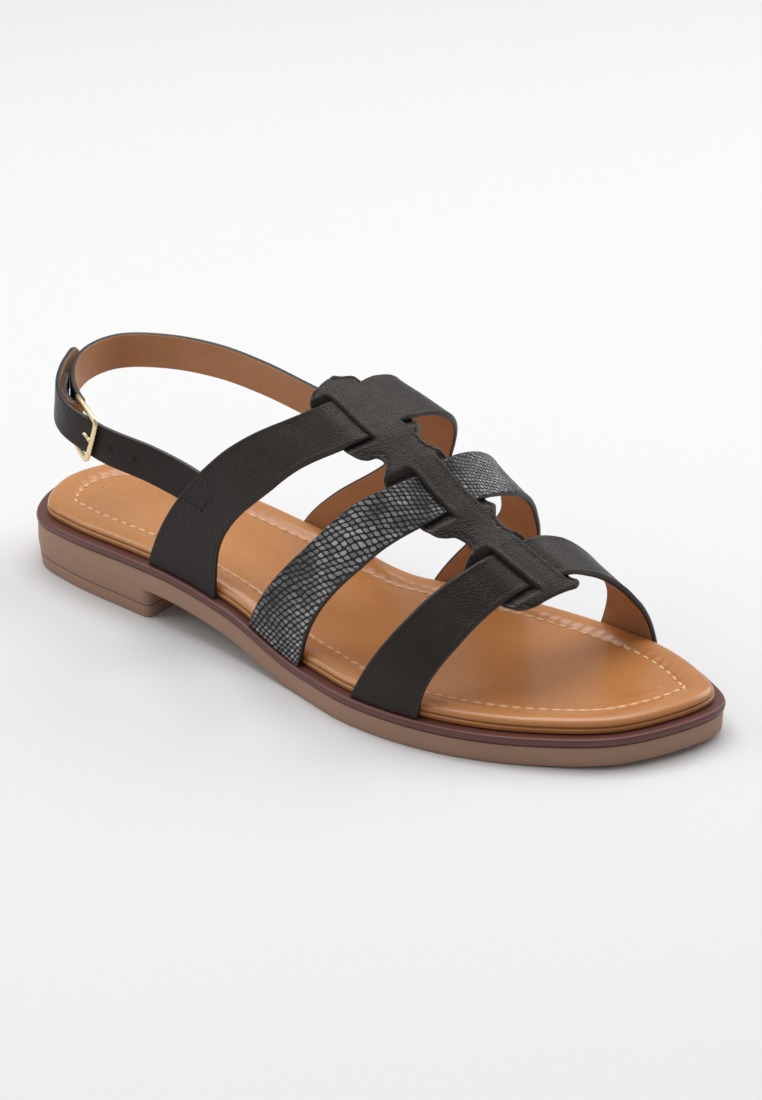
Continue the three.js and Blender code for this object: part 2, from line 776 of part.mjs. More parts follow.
// A round wire through places of the loop, as {run, out, up}.
function wire(places, radius, closed) {
  const sides = 8;
  const points = places.map(({ run, out, up }) => sling.place(run, out, up));
  const curve = new THREE.CatmullRomCurve3(points, closed, "centripetal");
  const count = Math.round(places.length * (closed ? 1.5 : 2.5));
  const frames = curve.computeFrenetFrames(count, closed);
  const rings = shares(count)
    .slice(0, closed ? -1 : undefined)
    .map((share, i) =>
      shares(sides)
        .slice(0, -1)
        .map((turn) => {
          const angle = 2 * Math.PI * turn;
          return curve
            .getPointAt(share)
            .addScaledVector(frames.normals[i], radius * Math.cos(angle))
            .addScaledVector(frames.binormals[i], radius * Math.sin(angle));
        }),
    );
  return sweep(rings, closed);
}

function makeBuckleFrame() {
  const halfHeight = (buckleHeight - buckleWire) / 2;
  const corners = [
    { run: frontBar, up: -1, turn: 180 },
    { run: rearBar, up: -1, turn: 270 },
    { run: rearBar, up: 1, turn: 0 },
    { run: frontBar, up: 1, turn: 90 },
  ];
  const places = corners.flatMap(({ run, up, turn }) => {
    const toMiddle = Math.sign((frontBar + rearBar) / 2 - run) * buckleCorner;
    return shares(4).map((share) => {
      const angle = THREE.MathUtils.degToRad(turn + 90 * share);
      const at = run + toMiddle + buckleCorner * Math.cos(angle);
      const height = up * (halfHeight - buckleCorner) + buckleCorner * Math.sin(angle);
      const ahead = (rearBar - at) / buckleLength;
      return { run: at, out: rearBarOut + barRise * ahead, up: height };
    });
  });
  return wire(places, buckleWire / 2, true);
}

// The prong's eye round the rear bar.
function prongRing(radius) {
  const sides = 12;
  const middle = barGap + prongWire / 2;
  const turnPoint = (angle, reach, up) =>
    sling.place(rearBar + reach * Math.cos(angle), rearBarOut + reach * Math.sin(angle), up);
  const rings = shares(sides)
    .slice(0, -1)
    .map((share) => {
      const angle = 2 * Math.PI * share;
      return [
        turnPoint(angle, middle - radius, -radius),
        turnPoint(angle, middle + radius, -radius),
        turnPoint(angle, middle + radius, radius),
        turnPoint(angle, middle - radius, radius),
      ];
    });
  return sweep(rings, true);
}

// Bends of the prong, as shares of the way from the rear bar to the front bar and of its rise.
const prongBends = [
  { ahead: 0, rise: 0 },
  { ahead: 0.3, rise: 0.03 },
  { ahead: 0.62, rise: 0.42 },
  { ahead: 0.85, rise: 0.92 },
  { ahead: 1, rise: 1 },
  { ahead: 1.1, rise: 0.97 },
];

function prongTongue(radius) {
  const start = rearBarOut + barGap + prongWire / 2;
  const rest = frontBarOut + buckleWire / 2 + prongWire / 2 + fitGap;
  const places = prongBends.map(({ ahead, rise }) => ({
    run: rearBar - buckleLength * ahead,
    out: mix(start, rest, rise),
    up: 0,
  }));
  return wire(places, radius, false);
}

function makeBuckleProng() {
  return prongRing(prongWire / 2).add(prongTongue(prongWire / 2));
}

function addNode(group, name, solid) {
  const data = solid.getMesh();
  const geometry = new THREE.BufferGeometry();
  geometry.setAttribute("position", new THREE.BufferAttribute(data.vertProperties, 3));
  geometry.setIndex(new THREE.BufferAttribute(data.triVerts, 1));
  geometry.translate(-originAhead, 0, 0);
  geometry.computeVertexNormals();
  const mesh = new THREE.Mesh(geometry, new THREE.MeshStandardMaterial(looks[name]));
  mesh.name = name;
  group.add(mesh);
}

const group = new THREE.Group();
addNode(group, "outsole", makeOutsole());
addNode(group, "heel_lift", makeHeelLift());
addNode(group, "welt", makeWelt());
addNode(group, "footbed", makeFootbed());
addNode(group, "upper", makeUpper());
addNode(group, "heel_strap", makeHeelStrap());
addNode(group, "buckle_end_strap", makeBuckleEndStrap());
addNode(group, "buckle_frame", makeBuckleFrame());
addNode(group, "buckle_prong", makeBuckleProng());

export default group;
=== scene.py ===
import math
import bpy
import numpy as np
from mathutils import Matrix, Vector


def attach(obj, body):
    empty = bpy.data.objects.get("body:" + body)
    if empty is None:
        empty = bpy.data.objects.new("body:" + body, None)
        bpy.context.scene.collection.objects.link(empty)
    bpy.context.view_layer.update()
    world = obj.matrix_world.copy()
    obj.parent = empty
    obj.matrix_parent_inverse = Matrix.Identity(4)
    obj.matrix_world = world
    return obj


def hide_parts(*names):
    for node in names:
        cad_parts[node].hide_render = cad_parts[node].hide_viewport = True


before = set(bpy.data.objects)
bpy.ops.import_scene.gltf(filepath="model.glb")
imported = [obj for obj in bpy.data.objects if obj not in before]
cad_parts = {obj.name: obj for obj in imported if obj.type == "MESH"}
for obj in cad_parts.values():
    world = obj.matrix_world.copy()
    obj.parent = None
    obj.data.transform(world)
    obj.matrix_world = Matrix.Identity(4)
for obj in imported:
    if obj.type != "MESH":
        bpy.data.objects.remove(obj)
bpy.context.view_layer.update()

mm = 0.001
# Lengths below are millimetres from the back of the heel. The frame's origin lies ahead of it.
shoe = {"length": 262, "ballWidth": 91, "originAhead": 30, "fitGap": 0.3}


def table(columns, *rows):
    return [dict(zip(columns.split(), row)) for row in rows]


def smoothColumn(rows, key, column):
    xs = np.array([row[key] for row in rows], float)
    ys = np.array([row[column] for row in rows], float)
    widths = np.diff(xs)
    rises = np.diff(ys) / widths
    slopes = np.zeros(len(xs))
    slopes[0] = rises[0]
    slopes[-1] = rises[-1]
    for i in range(1, len(xs) - 1):
        if rises[i - 1] * rises[i] > 0:
            a = 2 * widths[i] + widths[i - 1]
            b = widths[i] + 2 * widths[i - 1]
            slopes[i] = (a + b) / (a / rises[i - 1] + b / rises[i])

    def curve(at):
        x = np.clip(at, xs[0], xs[-1])
        i = np.clip(np.searchsorted(xs, x, side="right") - 1, 0, len(widths) - 1)
        t = (x - xs[i]) / widths[i]
        rest = 1 - t
        ends = ys[i] * rest**2 * (1 + 2 * t) + ys[i + 1] * t**2 * (3 - 2 * t)
        return ends + widths[i] * t * rest * (slopes[i] * rest - slopes[i + 1] * t)

    return curve


def smoothTable(rows, key="at"):
    return {name: smoothColumn(rows, key, name) for name in rows[0] if name != key}


def smoothStep(x, low, high):
    t = np.clip((np.asarray(x, float) - low) / (high - low), 0, 1)
    return t * t * (3 - 2 * t)


# A centripetal curve through points, at shares of its run.
def splineAt(points, share, closed=False):
    points = np.asarray(points, float)
    if closed:
        padded = np.vstack([points[-1:], points, points[:2]])
        spans = len(points)
    else:
        padded = np.vstack([2 * points[0] - points[1], points, 2 * points[-1] - points[-2]])
        spans = len(points) - 1
    place = np.clip(np.asarray(share, float) * spans, 0, spans - 1e-9)
    i = place.astype(int)
    w = (place - i)[..., None]
    a, b, c, d = (padded[i + k] for k in range(4))
    gapA, gapB, gapC = (
        np.sqrt(np.linalg.norm(q - p, axis=-1, keepdims=True)) for p, q in ((a, b), (b, c), (c, d))
    )
    leave = ((b - a) / gapA - (c - a) / (gapA + gapB) + (c - b) / gapB) * gapB
    reach = ((c - b) / gapB - (d - b) / (gapB + gapC) + (d - c) / gapC) * gapB
    return (
        b
        + leave * w
        + (3 * (c - b) - 2 * leave - reach) * w**2
        + (2 * (b - c) + leave + reach) * w**3
    )


sole = {
    "thickness": 6.9,
    "heelRise": 11.4,
    "toeSpring": 2.1,
    "heelLength": 66,
    "heelTaper": 1.4,
    "breastRadius": 3,
    "liftThickness": 4.7,
    "toeSide": 0.22,
    "corner": 0.7,
    "outlinePoints": 1600,
    "stations": 220,
    "heelStations": 90,
}
outlineTable = table(
    "at outer inner",
    (0.035, 0.26, 0.247),
    (0.1, 0.33, 0.303),
    (0.22, 0.366, 0.299),
    (0.36, 0.397, 0.305),
    (0.5, 0.466, 0.354),
    (0.62, 0.545, 0.432),
    (0.74, 0.519, 0.481),
    (0.86, 0.377, 0.467),
    (0.95, 0.177, 0.359),
)


def makeOutline():
    length, width, count = shoe["length"], shoe["ballWidth"], sole["outlinePoints"]
    inner = [(row["at"] * length, row["inner"] * width) for row in outlineTable]
    outer = [(row["at"] * length, -row["outer"] * width) for row in outlineTable]
    ring = [(0, 0), *inner, (length, sole["toeSide"] * width), *reversed(outer)]
    return splineAt(ring, np.arange(count) / count, closed=True)


outline = makeOutline()


def soleEdges(inset):
    along = np.roll(outline, -1, axis=0) - np.roll(outline, 1, axis=0)
    along /= np.linalg.norm(along, axis=1, keepdims=True)
    ring = outline + inset * np.stack([along[:, 1], -along[:, 0]], axis=1)
    ring = np.roll(ring, -int(np.argmin(ring[:, 0])), axis=0)
    toe = int(np.argmax(ring[:, 0]))
    inner = ring[: toe + 1]
    outer = np.vstack([ring[toe:], ring[:1]])[::-1]

    def side(points):
        xs = np.maximum.accumulate(points[:, 0])
        return lambda x: np.interp(x, xs, points[:, 1])

    return {"heel": ring[0], "toe": ring[toe], "inner": side(inner), "outer": side(outer)}


undersideTable = table(
    "at heel toe",
    (0, 0.84, 0),
    (0.252, 1, 0),
    (0.382, 0.7, 0),
    (0.527, 0, 0),
    (0.782, 0, 0),
    (1, 0, 1),
)
undersideCurves = smoothTable(undersideTable)


def underside(x):
    at = np.asarray(x, float) / shoe["length"]
    heel = sole["heelRise"] * undersideCurves["heel"](at)
    return heel + sole["toeSpring"] * undersideCurves["toe"](at)


def above(lift):
    return lambda x: underside(x) + lift


def flat(z):
    return lambda x: np.full(np.shape(x), float(z))


welt = {
    "thickness": 2.8,
    "width": 10.7,
    "bead": 0.5,
    "rimSteps": 12,
    "rimPower": 0.7,
    "tuck": 0.5,
    "sunk": 0.12,
}
weltBase = sole["thickness"] + shoe["fitGap"]
weltTop = weltBase + welt["thickness"]
footbedBase = weltTop + shoe["fitGap"]


# A ring of points at an inset, from the heel along the outer side to the front and back.
def soleRing(inset, height, breast=None, stations=None):
    stations = stations or sole["stations"]
    edges = soleEdges(inset)
    end = breast or edges["toe"][0]
    shares = np.arange(stations + 1) / stations
    xs = edges["heel"][0] + (end - edges["heel"][0]) * (1 - np.cos(np.pi * shares)) / 2
    radius = sole["breastRadius"]
    into = np.maximum(0, xs - (end - radius)) if breast else 0 * xs
    corner = radius - np.sqrt(np.maximum(0, radius**2 - into**2))
    outer = np.stack([xs, edges["outer"](xs) + corner, height(xs)], axis=1)
    inner = np.stack([xs, edges["inner"](xs) - corner, height(xs)], axis=1)
    outer[0, 1] = edges["heel"][1]
    if breast:
        return np.vstack([outer, inner[1:][::-1]])
    outer[-1, 1] = edges["toe"][1]
    return np.vstack([outer, inner[1:-1][::-1]])


strap = {
    "thickness": 2,
    "inset": 2.1,
    "instepHeight": 84.8,
    "edgeRadius": 0.95,
    "rollHeight": 0.18,
    "rollInset": 1.1,
    "rollWidth": 0.7,
    "rows": 190,
    "columns": 30,
}
archTable = table(
    "at height lean sides crown",
    (0.229, 0.94, 0.02, 2.8, 2.37),
    (0.363, 0.94, 0.06, 2.78, 2.35),
    (0.477, 1, 0.094, 2.58, 2.19),
    (0.573, 0.93, 0.085, 2.43, 2.06),
    (0.668, 0.72, 0.068, 2.27, 1.93),
    (0.763, 0.517, 0.05, 2.12, 1.8),
    (0.878, 0.263, 0.05, 2.05, 1.75),
)
archCurves = smoothTable(archTable)
footEdges = soleEdges(strap["inset"])


# A point of the arched space: x along the sole, turn from 0 (outer foot) to 1 (inner foot).
def archPoint(x, turn):
    x, turn = np.broadcast_arrays(np.asarray(x, float), np.clip(turn, 0, 1))
    at = x / shoe["length"]
    outer, inner = footEdges["outer"](x), footEdges["inner"](x)
    cosine = np.cos(np.pi * turn)
    sine = np.maximum(0, np.sin(np.pi * turn))
    across = np.sign(cosine) * np.abs(cosine) ** (2 / archCurves["sides"](at))
    lean = archCurves["lean"](at) * shoe["ballWidth"] * sine**2
    y = (outer + inner) / 2 - (inner - outer) / 2 * across + lean
    rise = archCurves["height"](at) * strap["instepHeight"] * sine ** (2 / archCurves["crown"](at))
    return np.stack([x, y, underside(x) + footbedBase + rise], axis=-1)


def archNormal(x, turn):
    turnStep, xStep = 0.002, 0.5
    low = np.clip(np.asarray(turn, float) - turnStep, 0, 1 - 2 * turnStep)
    over = archPoint(x, low + 2 * turnStep) - archPoint(x, low)
    along = archPoint(np.asarray(x) + xStep, turn) - archPoint(np.asarray(x) - xStep, turn)
    normal = np.cross(along, over)
    return normal / np.linalg.norm(normal, axis=-1, keepdims=True)


def raised(x, turn, level):
    return archPoint(x, turn) + archNormal(x, turn) * np.asarray(level, float)[..., None]


# Turns at even lengths round the arch, along the line that xAt gives.
def evenTurns(xAt, count, fineCount=1200):
    fine = np.linspace(0, 1, fineCount)
    steps = np.linalg.norm(np.diff(archPoint(xAt(fine), fine), axis=0), axis=1)
    lengths = np.concatenate([[0], np.cumsum(steps)])
    return np.interp(np.linspace(0, lengths[-1], count + 1), lengths, fine)


# Each strap's two edges, as shares of the shoe's length at each turn.
strapTables = {
    "rear_strap": table(
        "turn back front",
        (0, 0.25, 0.366),
        (0.04, 0.267, 0.367),
        (0.2, 0.356, 0.45),
        (0.4, 0.481, 0.557),
        (0.6, 0.499, 0.585),
        (0.8, 0.484, 0.554),
        (1, 0.335, 0.442),
    ),
    "middle_strap": table(
        "turn back front",
        (0, 0.428, 0.523),
        (0.04, 0.447, 0.533),
        (0.2, 0.538, 0.609),
        (0.4, 0.62, 0.67),
        (0.6, 0.635, 0.693),
        (0.8, 0.63, 0.686),
        (1, 0.529, 0.635),
    ),
    "front_strap": table(
        "turn back front",
        (0, 0.617, 0.716),
        (0.04, 0.631, 0.718),
        (0.2, 0.684, 0.748),
        (0.4, 0.731, 0.782),
        (0.6, 0.755, 0.813),
        (0.8, 0.785, 0.845),
        (1, 0.766, 0.858),
    ),
}
strapEdges = {}
for strapName, strapRows in strapTables.items():
    curves = smoothTable(strapRows, "turn")
    strapEdges[strapName] = [
        lambda turn, curve=curves[side]: curve(turn) * shoe["length"] for side in ("back", "front")
    ]


spine = {
    "halfWidth": 15,
    "thickness": 2,
    "barHalf": 5.2,
    "slitWall": 0.9,
    "turn": 0.43,
    "lobeReach": 10.5,
    "lobeSpread": 0.4,
    "barDip": 0.9,
    "lobeRise": 0.6,
    "neckRise": 0.3,
    "pressed": 0.2,
    "barEase": 8,
    "lobeEase": 3.2,
    "slant": 0.25,
    "edgeRadius": 1.0,
    "edgeSteps": 5,
    "rollHeight": 0.3,
    "rollInset": 0.7,
    "rollWidth": 0.6,
    "rows": 260,
    "columns": {"body": 9, "wall": 5, "bar": 4, "middle": 8},
    "barFlank": 1.6,
    "endThin": 0.05,
    "crowded": 0.35,
    "seamDepth": 0.34,
    "seamWidth": 0.5,
    "stitchInset": 1.9,
    "stitchEnds": 1.6,
    "stitchSteps": 420,
    "stitchBare": 0.4,
    "stitch": {"pitch": 2.7, "length": 2, "width": 0.55, "height": 0.5},
    "stitchSunk": 0.1,
}
# Half widths on both sides and the bar's shift, as shares of halfWidth.
spineTable = table(
    "at outer inner shift",
    (0.458, 0.3, 0.2, 0.05),
    (0.462, 0.52, 0.22, 0.04),
    (0.468, 0.7, 0.28, 0.03),
    (0.477, 0.85, 0.5, 0.02),
    (0.49, 0.98, 0.68, 0),
    (0.52, 1.06, 0.74, -0.07),
    (0.545, 1.12, 0.72, -0.12),
    (0.562, 1.09, 0.63, -0.13),
    (0.575, 0.98, 0.57, -0.12),
    (0.583, 0.8, 0.47, -0.11),
    (0.59, 0.77, 0.33, -0.1),
    (0.599, 0.82, 0.33, -0.09),
    (0.603, 0.95, 0.36, -0.08),
    (0.61, 1.12, 0.48, -0.07),
    (0.62, 1.17, 0.65, -0.06),
    (0.65, 1.15, 0.72, -0.05),
    (0.673, 1.09, 0.71, -0.03),
    (0.686, 1.01, 0.68, -0.02),
    (0.694, 0.86, 0.56, -0.01),
    (0.7, 0.68, 0.46, 0),
    (0.712, 0.61, 0.42, 0.01),
    (0.721, 0.65, 0.46, 0.02),
    (0.726, 0.9, 0.58, 0.02),
    (0.733, 1.12, 0.72, 0.03),
    (0.76, 1.14, 0.78, 0.06),
    (0.785, 1.09, 0.76, 0.08),
    (0.796, 1.03, 0.72, 0.09),
    (0.803, 0.87, 0.64, 0.09),
    (0.807, 0.62, 0.5, 0.09),
)
spineCurves = smoothTable(spineTable)
asideSpan = {"start": 55, "end": 232, "columns": 178, "turns": 700}


# Distances aside of the centre piece's guide line, on a grid of x and turn.
def asideGrid():
    xs = np.linspace(asideSpan["start"], asideSpan["end"], asideSpan["columns"])
    turns = np.linspace(0, 1, asideSpan["turns"])
    grid = archPoint(xs[:, None], turns[None, :])
    steps = np.linalg.norm(np.diff(grid, axis=1), axis=2)
    lengths = np.concatenate([np.zeros((len(xs), 1)), np.cumsum(steps, axis=1)], axis=1)
    middle = np.array([np.interp(spine["turn"], turns, row) for row in lengths])
    return xs, turns, lengths - middle[:, None]


asideXs, asideTurns, asideLengths = asideGrid()


def asideRow(x):
    place = np.clip((x - asideXs[0]) / (asideXs[1] - asideXs[0]), 0, len(asideXs) - 1.001)
    t = place - int(place)
    return asideLengths[int(place)] * (1 - t) + asideLengths[int(place) + 1] * t


def turnAside(x, distance):
    return float(np.interp(distance, asideRow(x), asideTurns))


def asideOf(x, turn):
    x, turn = np.broadcast_arrays(np.asarray(x, float), turn)
    asides = [np.interp(b, asideTurns, asideRow(a)) for a, b in zip(x.ravel(), turn.ravel())]
    return np.array(asides).reshape(x.shape)


# A strap dips under the centre piece's bar and rises over its lobes.
def threadLevel(x, turn):
    aside = asideOf(x, turn)
    middle = spineCurves["shift"]((x - spine["slant"] * aside) / shoe["length"])
    away = np.abs(aside - middle * spine["halfWidth"])
    reach = spine["lobeReach"]
    rise = spine["lobeRise"] * np.exp(-(((away - reach) / (reach * spine["lobeSpread"])) ** 2))
    return rise - spine["barDip"] * np.exp(-((away / spine["barHalf"]) ** 2))


# One where a strap covers the place, easing to nothing over run.
def strapCover(x, turn, run):
    covers = [
        smoothStep(np.minimum(x - back(turn), front(turn) - x), -run, 0)
        for back, front in strapEdges.values()
    ]
    return np.max(covers, axis=0)


print("shapes worked out")

sharpAngle = math.radians(50)


# Points come in millimetres and go out in the frame's metres.
def addMesh(name, points, faces, materials, slots=None, uv=None):
    mesh = bpy.data.meshes.new(name)
    placed = (np.asarray(points) - np.array([shoe["originAhead"], 0, 0])) * mm
    mesh.from_pydata(placed.tolist(), [], [tuple(int(i) for i in face) for face in faces])
    for material in materials:
        mesh.materials.append(material)
    if slots is not None:
        mesh.polygons.foreach_set("material_index", np.asarray(slots, np.int32))
    if uv is not None:
        layer = mesh.uv_layers.new(name="strapMap")
        corners = np.zeros(len(mesh.loops), np.int32)
        mesh.loops.foreach_get("vertex_index", corners)
        layer.data.foreach_set("uv", np.asarray(uv, np.float32)[corners].ravel())
    mesh.validate()
    mesh.update()
    mesh.shade_smooth()
    mesh.set_sharp_from_angle(angle=sharpAngle)
    piece = bpy.data.objects.new(name, mesh)
    bpy.context.scene.collection.objects.link(piece)
    return piece


def quadsBetween(ringCount, sides, closed):
    spans = ringCount if closed else ringCount - 1
    i, j = np.meshgrid(np.arange(spans), np.arange(sides), indexing="ij")
    a = i * sides
    b = ((i + 1) % ringCount) * sides
    k = (j + 1) % sides
    return np.stack([a + j, b + j, b + k, a + k], axis=-1).reshape(-1, 4)


# Strips across both ends of an open run of rings.
def endStrips(ringCount, sides):
    j = np.arange(sides // 2 - 1)
    first = np.stack([j, j + 1, sides - 2 - j, sides - 1 - j], axis=1)
    last = first[:, ::-1] + (ringCount - 1) * sides
    return np.vstack([first, last])


def outwards(points, faces):
    points = np.asarray(points)
    a, b, c, d = (points[faces[:, k]] for k in range(4))
    volume = np.sum(a * np.cross(b, c)) + np.sum(a * np.cross(c, d))
    return faces if volume > 0 else faces[:, ::-1]


# Joins equal rings into one closed mesh, with a material slot for each side.
def addSweep(name, rings, materials, closed=False, sideSlots=None, uv=None):
    rings = np.asarray(rings)
    count, sides = rings.shape[:2]
    faces = quadsBetween(count, sides, closed)
    spans = count if closed else count - 1
    slots = np.zeros(len(faces), int)
    if sideSlots is not None:
        slots = np.tile(np.asarray(sideSlots), spans)
    if not closed:
        ends = endStrips(count, sides)
        faces = np.vstack([faces, ends])
        endSlot = sideSlots[-1] if sideSlots is not None else 0
        slots = np.concatenate([slots, np.full(len(ends), endSlot)])
    points = rings.reshape(-1, 3)
    faces = outwards(points, faces)
    flatUv = None if uv is None else np.asarray(uv).reshape(-1, 2)
    return addMesh(name, points, faces, materials, slots, flatUv)


# A stack of sole rings with its bottom and top closed by strips. dish lowers the top's middle.
def addStack(name, rings, stations, materials, dish=0, columns=1):
    rings = np.asarray(rings)
    count, sides = rings.shape[:2]
    faces = [tuple(face) for face in quadsBetween(count, sides, False)[:, ::-1]]
    points = [tuple(p) for p in rings.reshape(-1, 3)]
    top = (count - 1) * sides
    grid = []
    for k in range(stations + 1):
        near, far = top + k, top + (sides - k) % sides
        if near == far:
            grid.append([near] * (columns + 1))
            continue
        a, b = np.array(points[near]), np.array(points[far])
        row = [near]
        ease = math.sin(math.pi * k / stations) ** 0.5
        for c in range(1, columns):
            u = c / columns
            middle = a + (b - a) * u - np.array([0, 0, dish * ease * (1 - (2 * u - 1) ** 2)])
            row.append(len(points))
            points.append(tuple(middle))
        grid.append([*row, far])
    for k in range(stations):
        for c in range(columns):
            ring = [grid[k][c], grid[k + 1][c], grid[k + 1][c + 1], grid[k][c + 1]]
            face = tuple(dict.fromkeys(ring))
            if len(face) > 2:
                faces.append(face)
        low = [k, (sides - k) % sides, (sides - k - 1) % sides, k + 1]
        face = tuple(dict.fromkeys(low))
        if len(face) > 2:
            faces.append(face)
    return addMesh(name, points, faces, materials)


# A piece rides on the shoe and stands for its CAD node, which it hides.
def standIn(piece, node):
    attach(piece, "root")
    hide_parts(node)


# Shader sums, written as plain arithmetic on a socket.
class Wire:
    def __init__(self, look, socket):
        self.look = look
        self.socket = socket

    def maths(self, kind, *values):
        return self.look.node("ShaderNodeMath", {"operation": kind}, dict(enumerate(values)))

    def __add__(self, other):
        return self.maths("ADD", self, other)

    def __radd__(self, other):
        return self.maths("ADD", other, self)

    def __sub__(self, other):
        return self.maths("SUBTRACT", self, other)

    def __rsub__(self, other):
        return self.maths("SUBTRACT", other, self)

    def __mul__(self, other):
        return self.maths("MULTIPLY", self, other)

    def __rmul__(self, other):
        return self.maths("MULTIPLY", other, self)

    def __truediv__(self, other):
        return self.maths("DIVIDE", self, other)

    def __rtruediv__(self, other):
        return self.maths("DIVIDE", other, self)

    def __pow__(self, other):
        return self.maths("POWER", self, other)

    def __rpow__(self, other):
        return self.maths("POWER", other, self)

    def floor(self):
        return self.maths("FLOOR", self)

    def fract(self):
        return self.maths("FRACT", self)

    def __abs__(self):
        return self.maths("ABSOLUTE", self)

    def over(self, other):
        return self.maths("MAXIMUM", self, other)

    def ramp(self, low, high, start=0, end=1):
        ends = dict(enumerate((self, low, high, start, end)))
        return self.look.node("ShaderNodeMapRange", {"interpolation_type": "SMOOTHSTEP"}, ends)


class Look:
    def __init__(self, name, constants):
        self.material = bpy.data.materials.new(name)
        self.material.use_nodes = True
        self.tree = self.material.node_tree
        self.shader = self.tree.nodes["Principled BSDF"]
        self.feed(self.shader, constants)

    def feed(self, node, sockets):
        for key, value in sockets.items():
            if isinstance(value, Wire):
                self.tree.links.new(value.socket, node.inputs[key])
            else:
                node.inputs[key].default_value = value

    # Any node: its type, its settings, its sockets' values or links, and the output to take.
    def node(self, kind, settings, sockets, output=0):
        node = self.tree.nodes.new(kind)
        for key, value in settings.items():
            setattr(node, key, value)
        self.feed(node, sockets)
        return Wire(self, node.outputs[output])

    def coords(self, kind):
        return self.node("ShaderNodeTexCoord", {}, {}, kind)

    # Object coordinates in millimetres, stretched along each axis.
    def place(self, stretch=(1, 1, 1)):
        factors = tuple(share / mm for share in stretch)
        sockets = {0: self.coords("Object"), 1: factors}
        return self.node("ShaderNodeVectorMath", {"operation": "MULTIPLY"}, sockets)

    def noise(self, size, detail=3, stretch=(1, 1, 1), roughness=0.55):
        sockets = {
            "Vector": self.place(stretch),
            "Scale": 1 / size,
            "Detail": detail,
            "Roughness": roughness,
        }
        return self.node("ShaderNodeTexNoise", {}, sockets)

    # Distance to the nearest border between cells.
    def cells(self, size):
        sockets = {"Vector": self.place(), "Scale": 1 / size}
        borders = {"feature": "DISTANCE_TO_EDGE"}
        return self.node("ShaderNodeTexVoronoi", borders, sockets, "Distance")

    def axes(self, vector):
        first = self.node("ShaderNodeSeparateXYZ", {}, {0: vector})
        return [Wire(self, socket) for socket in first.socket.node.outputs]

    def blend(self, factor, first, second):
        colours = [c if isinstance(c, Wire) else (*c, 1) for c in (first, second)]
        factorIn, firstIn, secondIn, colourOut = 0, 6, 7, 2
        sockets = dict(zip((factorIn, firstIn, secondIn), (factor, *colours)))
        return self.node("ShaderNodeMix", {"data_type": "RGBA"}, sockets, colourOut)

    # One in round holes on the strap's own map, which is in millimetres. The holes get painted
    # shade and a dent.
    def punched(self, holes):
        across, along, _ = self.axes(self.coords("UV"))
        mask = None
        for run in holes["runs"]:
            away = ((across - holes["middle"]) ** 2 + (along - run) ** 2) ** 0.5
            hole = away.ramp(holes["radius"] + holes["soft"], holes["radius"] - holes["soft"])
            mask = hole if mask is None else mask.over(hole)
        return mask

    # The surface's sockets, and its relief from a height in millimetres.
    def finish(self, sockets, height=None, strength=1.0):
        self.feed(self.shader, sockets)
        if height is not None:
            bump = {"Strength": strength, "Distance": mm, "Height": height}
            self.feed(self.shader, {"Normal": self.node("ShaderNodeBump", {}, bump)})
        return self.material


blackSkin = {
    "dark": (0.0085, 0.0068, 0.0058),
    "light": (0.017, 0.014, 0.0122),
    # The punched holes are coloured with painted shade, near black.
    "hole": (0.0015, 0.0015, 0.0015),
    "sheen": (1.0, 0.9, 0.85, 1),
    "grainSize": 0.95,
    "grainHeight": 0.095,
    "fineHeight": 0.03,
    "creaseHeight": 0.5,
    "foldHeight": 0.25,
    "roughness": 0.36,
    "holeDepth": 0.8,
}


def blackLeather(name, holes=None):
    look = Look(name, {"Specular IOR Level": 0.3, "Specular Tint": blackSkin["sheen"]})
    grain = look.cells(blackSkin["grainSize"]).ramp(0.0, 0.24)
    fine = look.noise(size=0.35, detail=2)
    broad = look.noise(size=14)
    folds = look.noise(size=5, stretch=(1.6, 0.7, 1))
    height = blackSkin["grainHeight"] * grain + blackSkin["fineHeight"] * fine
    height += blackSkin["creaseHeight"] * broad + blackSkin["foldHeight"] * folds
    colour = look.blend(broad, blackSkin["dark"], blackSkin["light"])
    # Painted shade: the punched holes take a near-black colour for the shade inside them, and a
    # dent.
    if holes:
        mask = look.punched(holes)
        colour = look.blend(mask, colour, blackSkin["hole"])
        height -= blackSkin["holeDepth"] * mask
    roughness = blackSkin["roughness"] + 0.18 * broad - 0.12 * grain
    return look.finish({"Base Color": colour, "Roughness": roughness}, height, strength=0.8)


scaleSkin = {
    "groove": (0.003, 0.003, 0.003),
    "dull": (0.14, 0.14, 0.145),
    "silver": (0.34, 0.34, 0.35),
    "stray": 1.3,
    "lean": (0.85, 0.53),
    "stretch": 1.35,
    "squareness": 2.8,
    "worn": 0.25,
    "rise": 0.4,
    "pitting": 0.03,
    "roughness": 0.5,
}


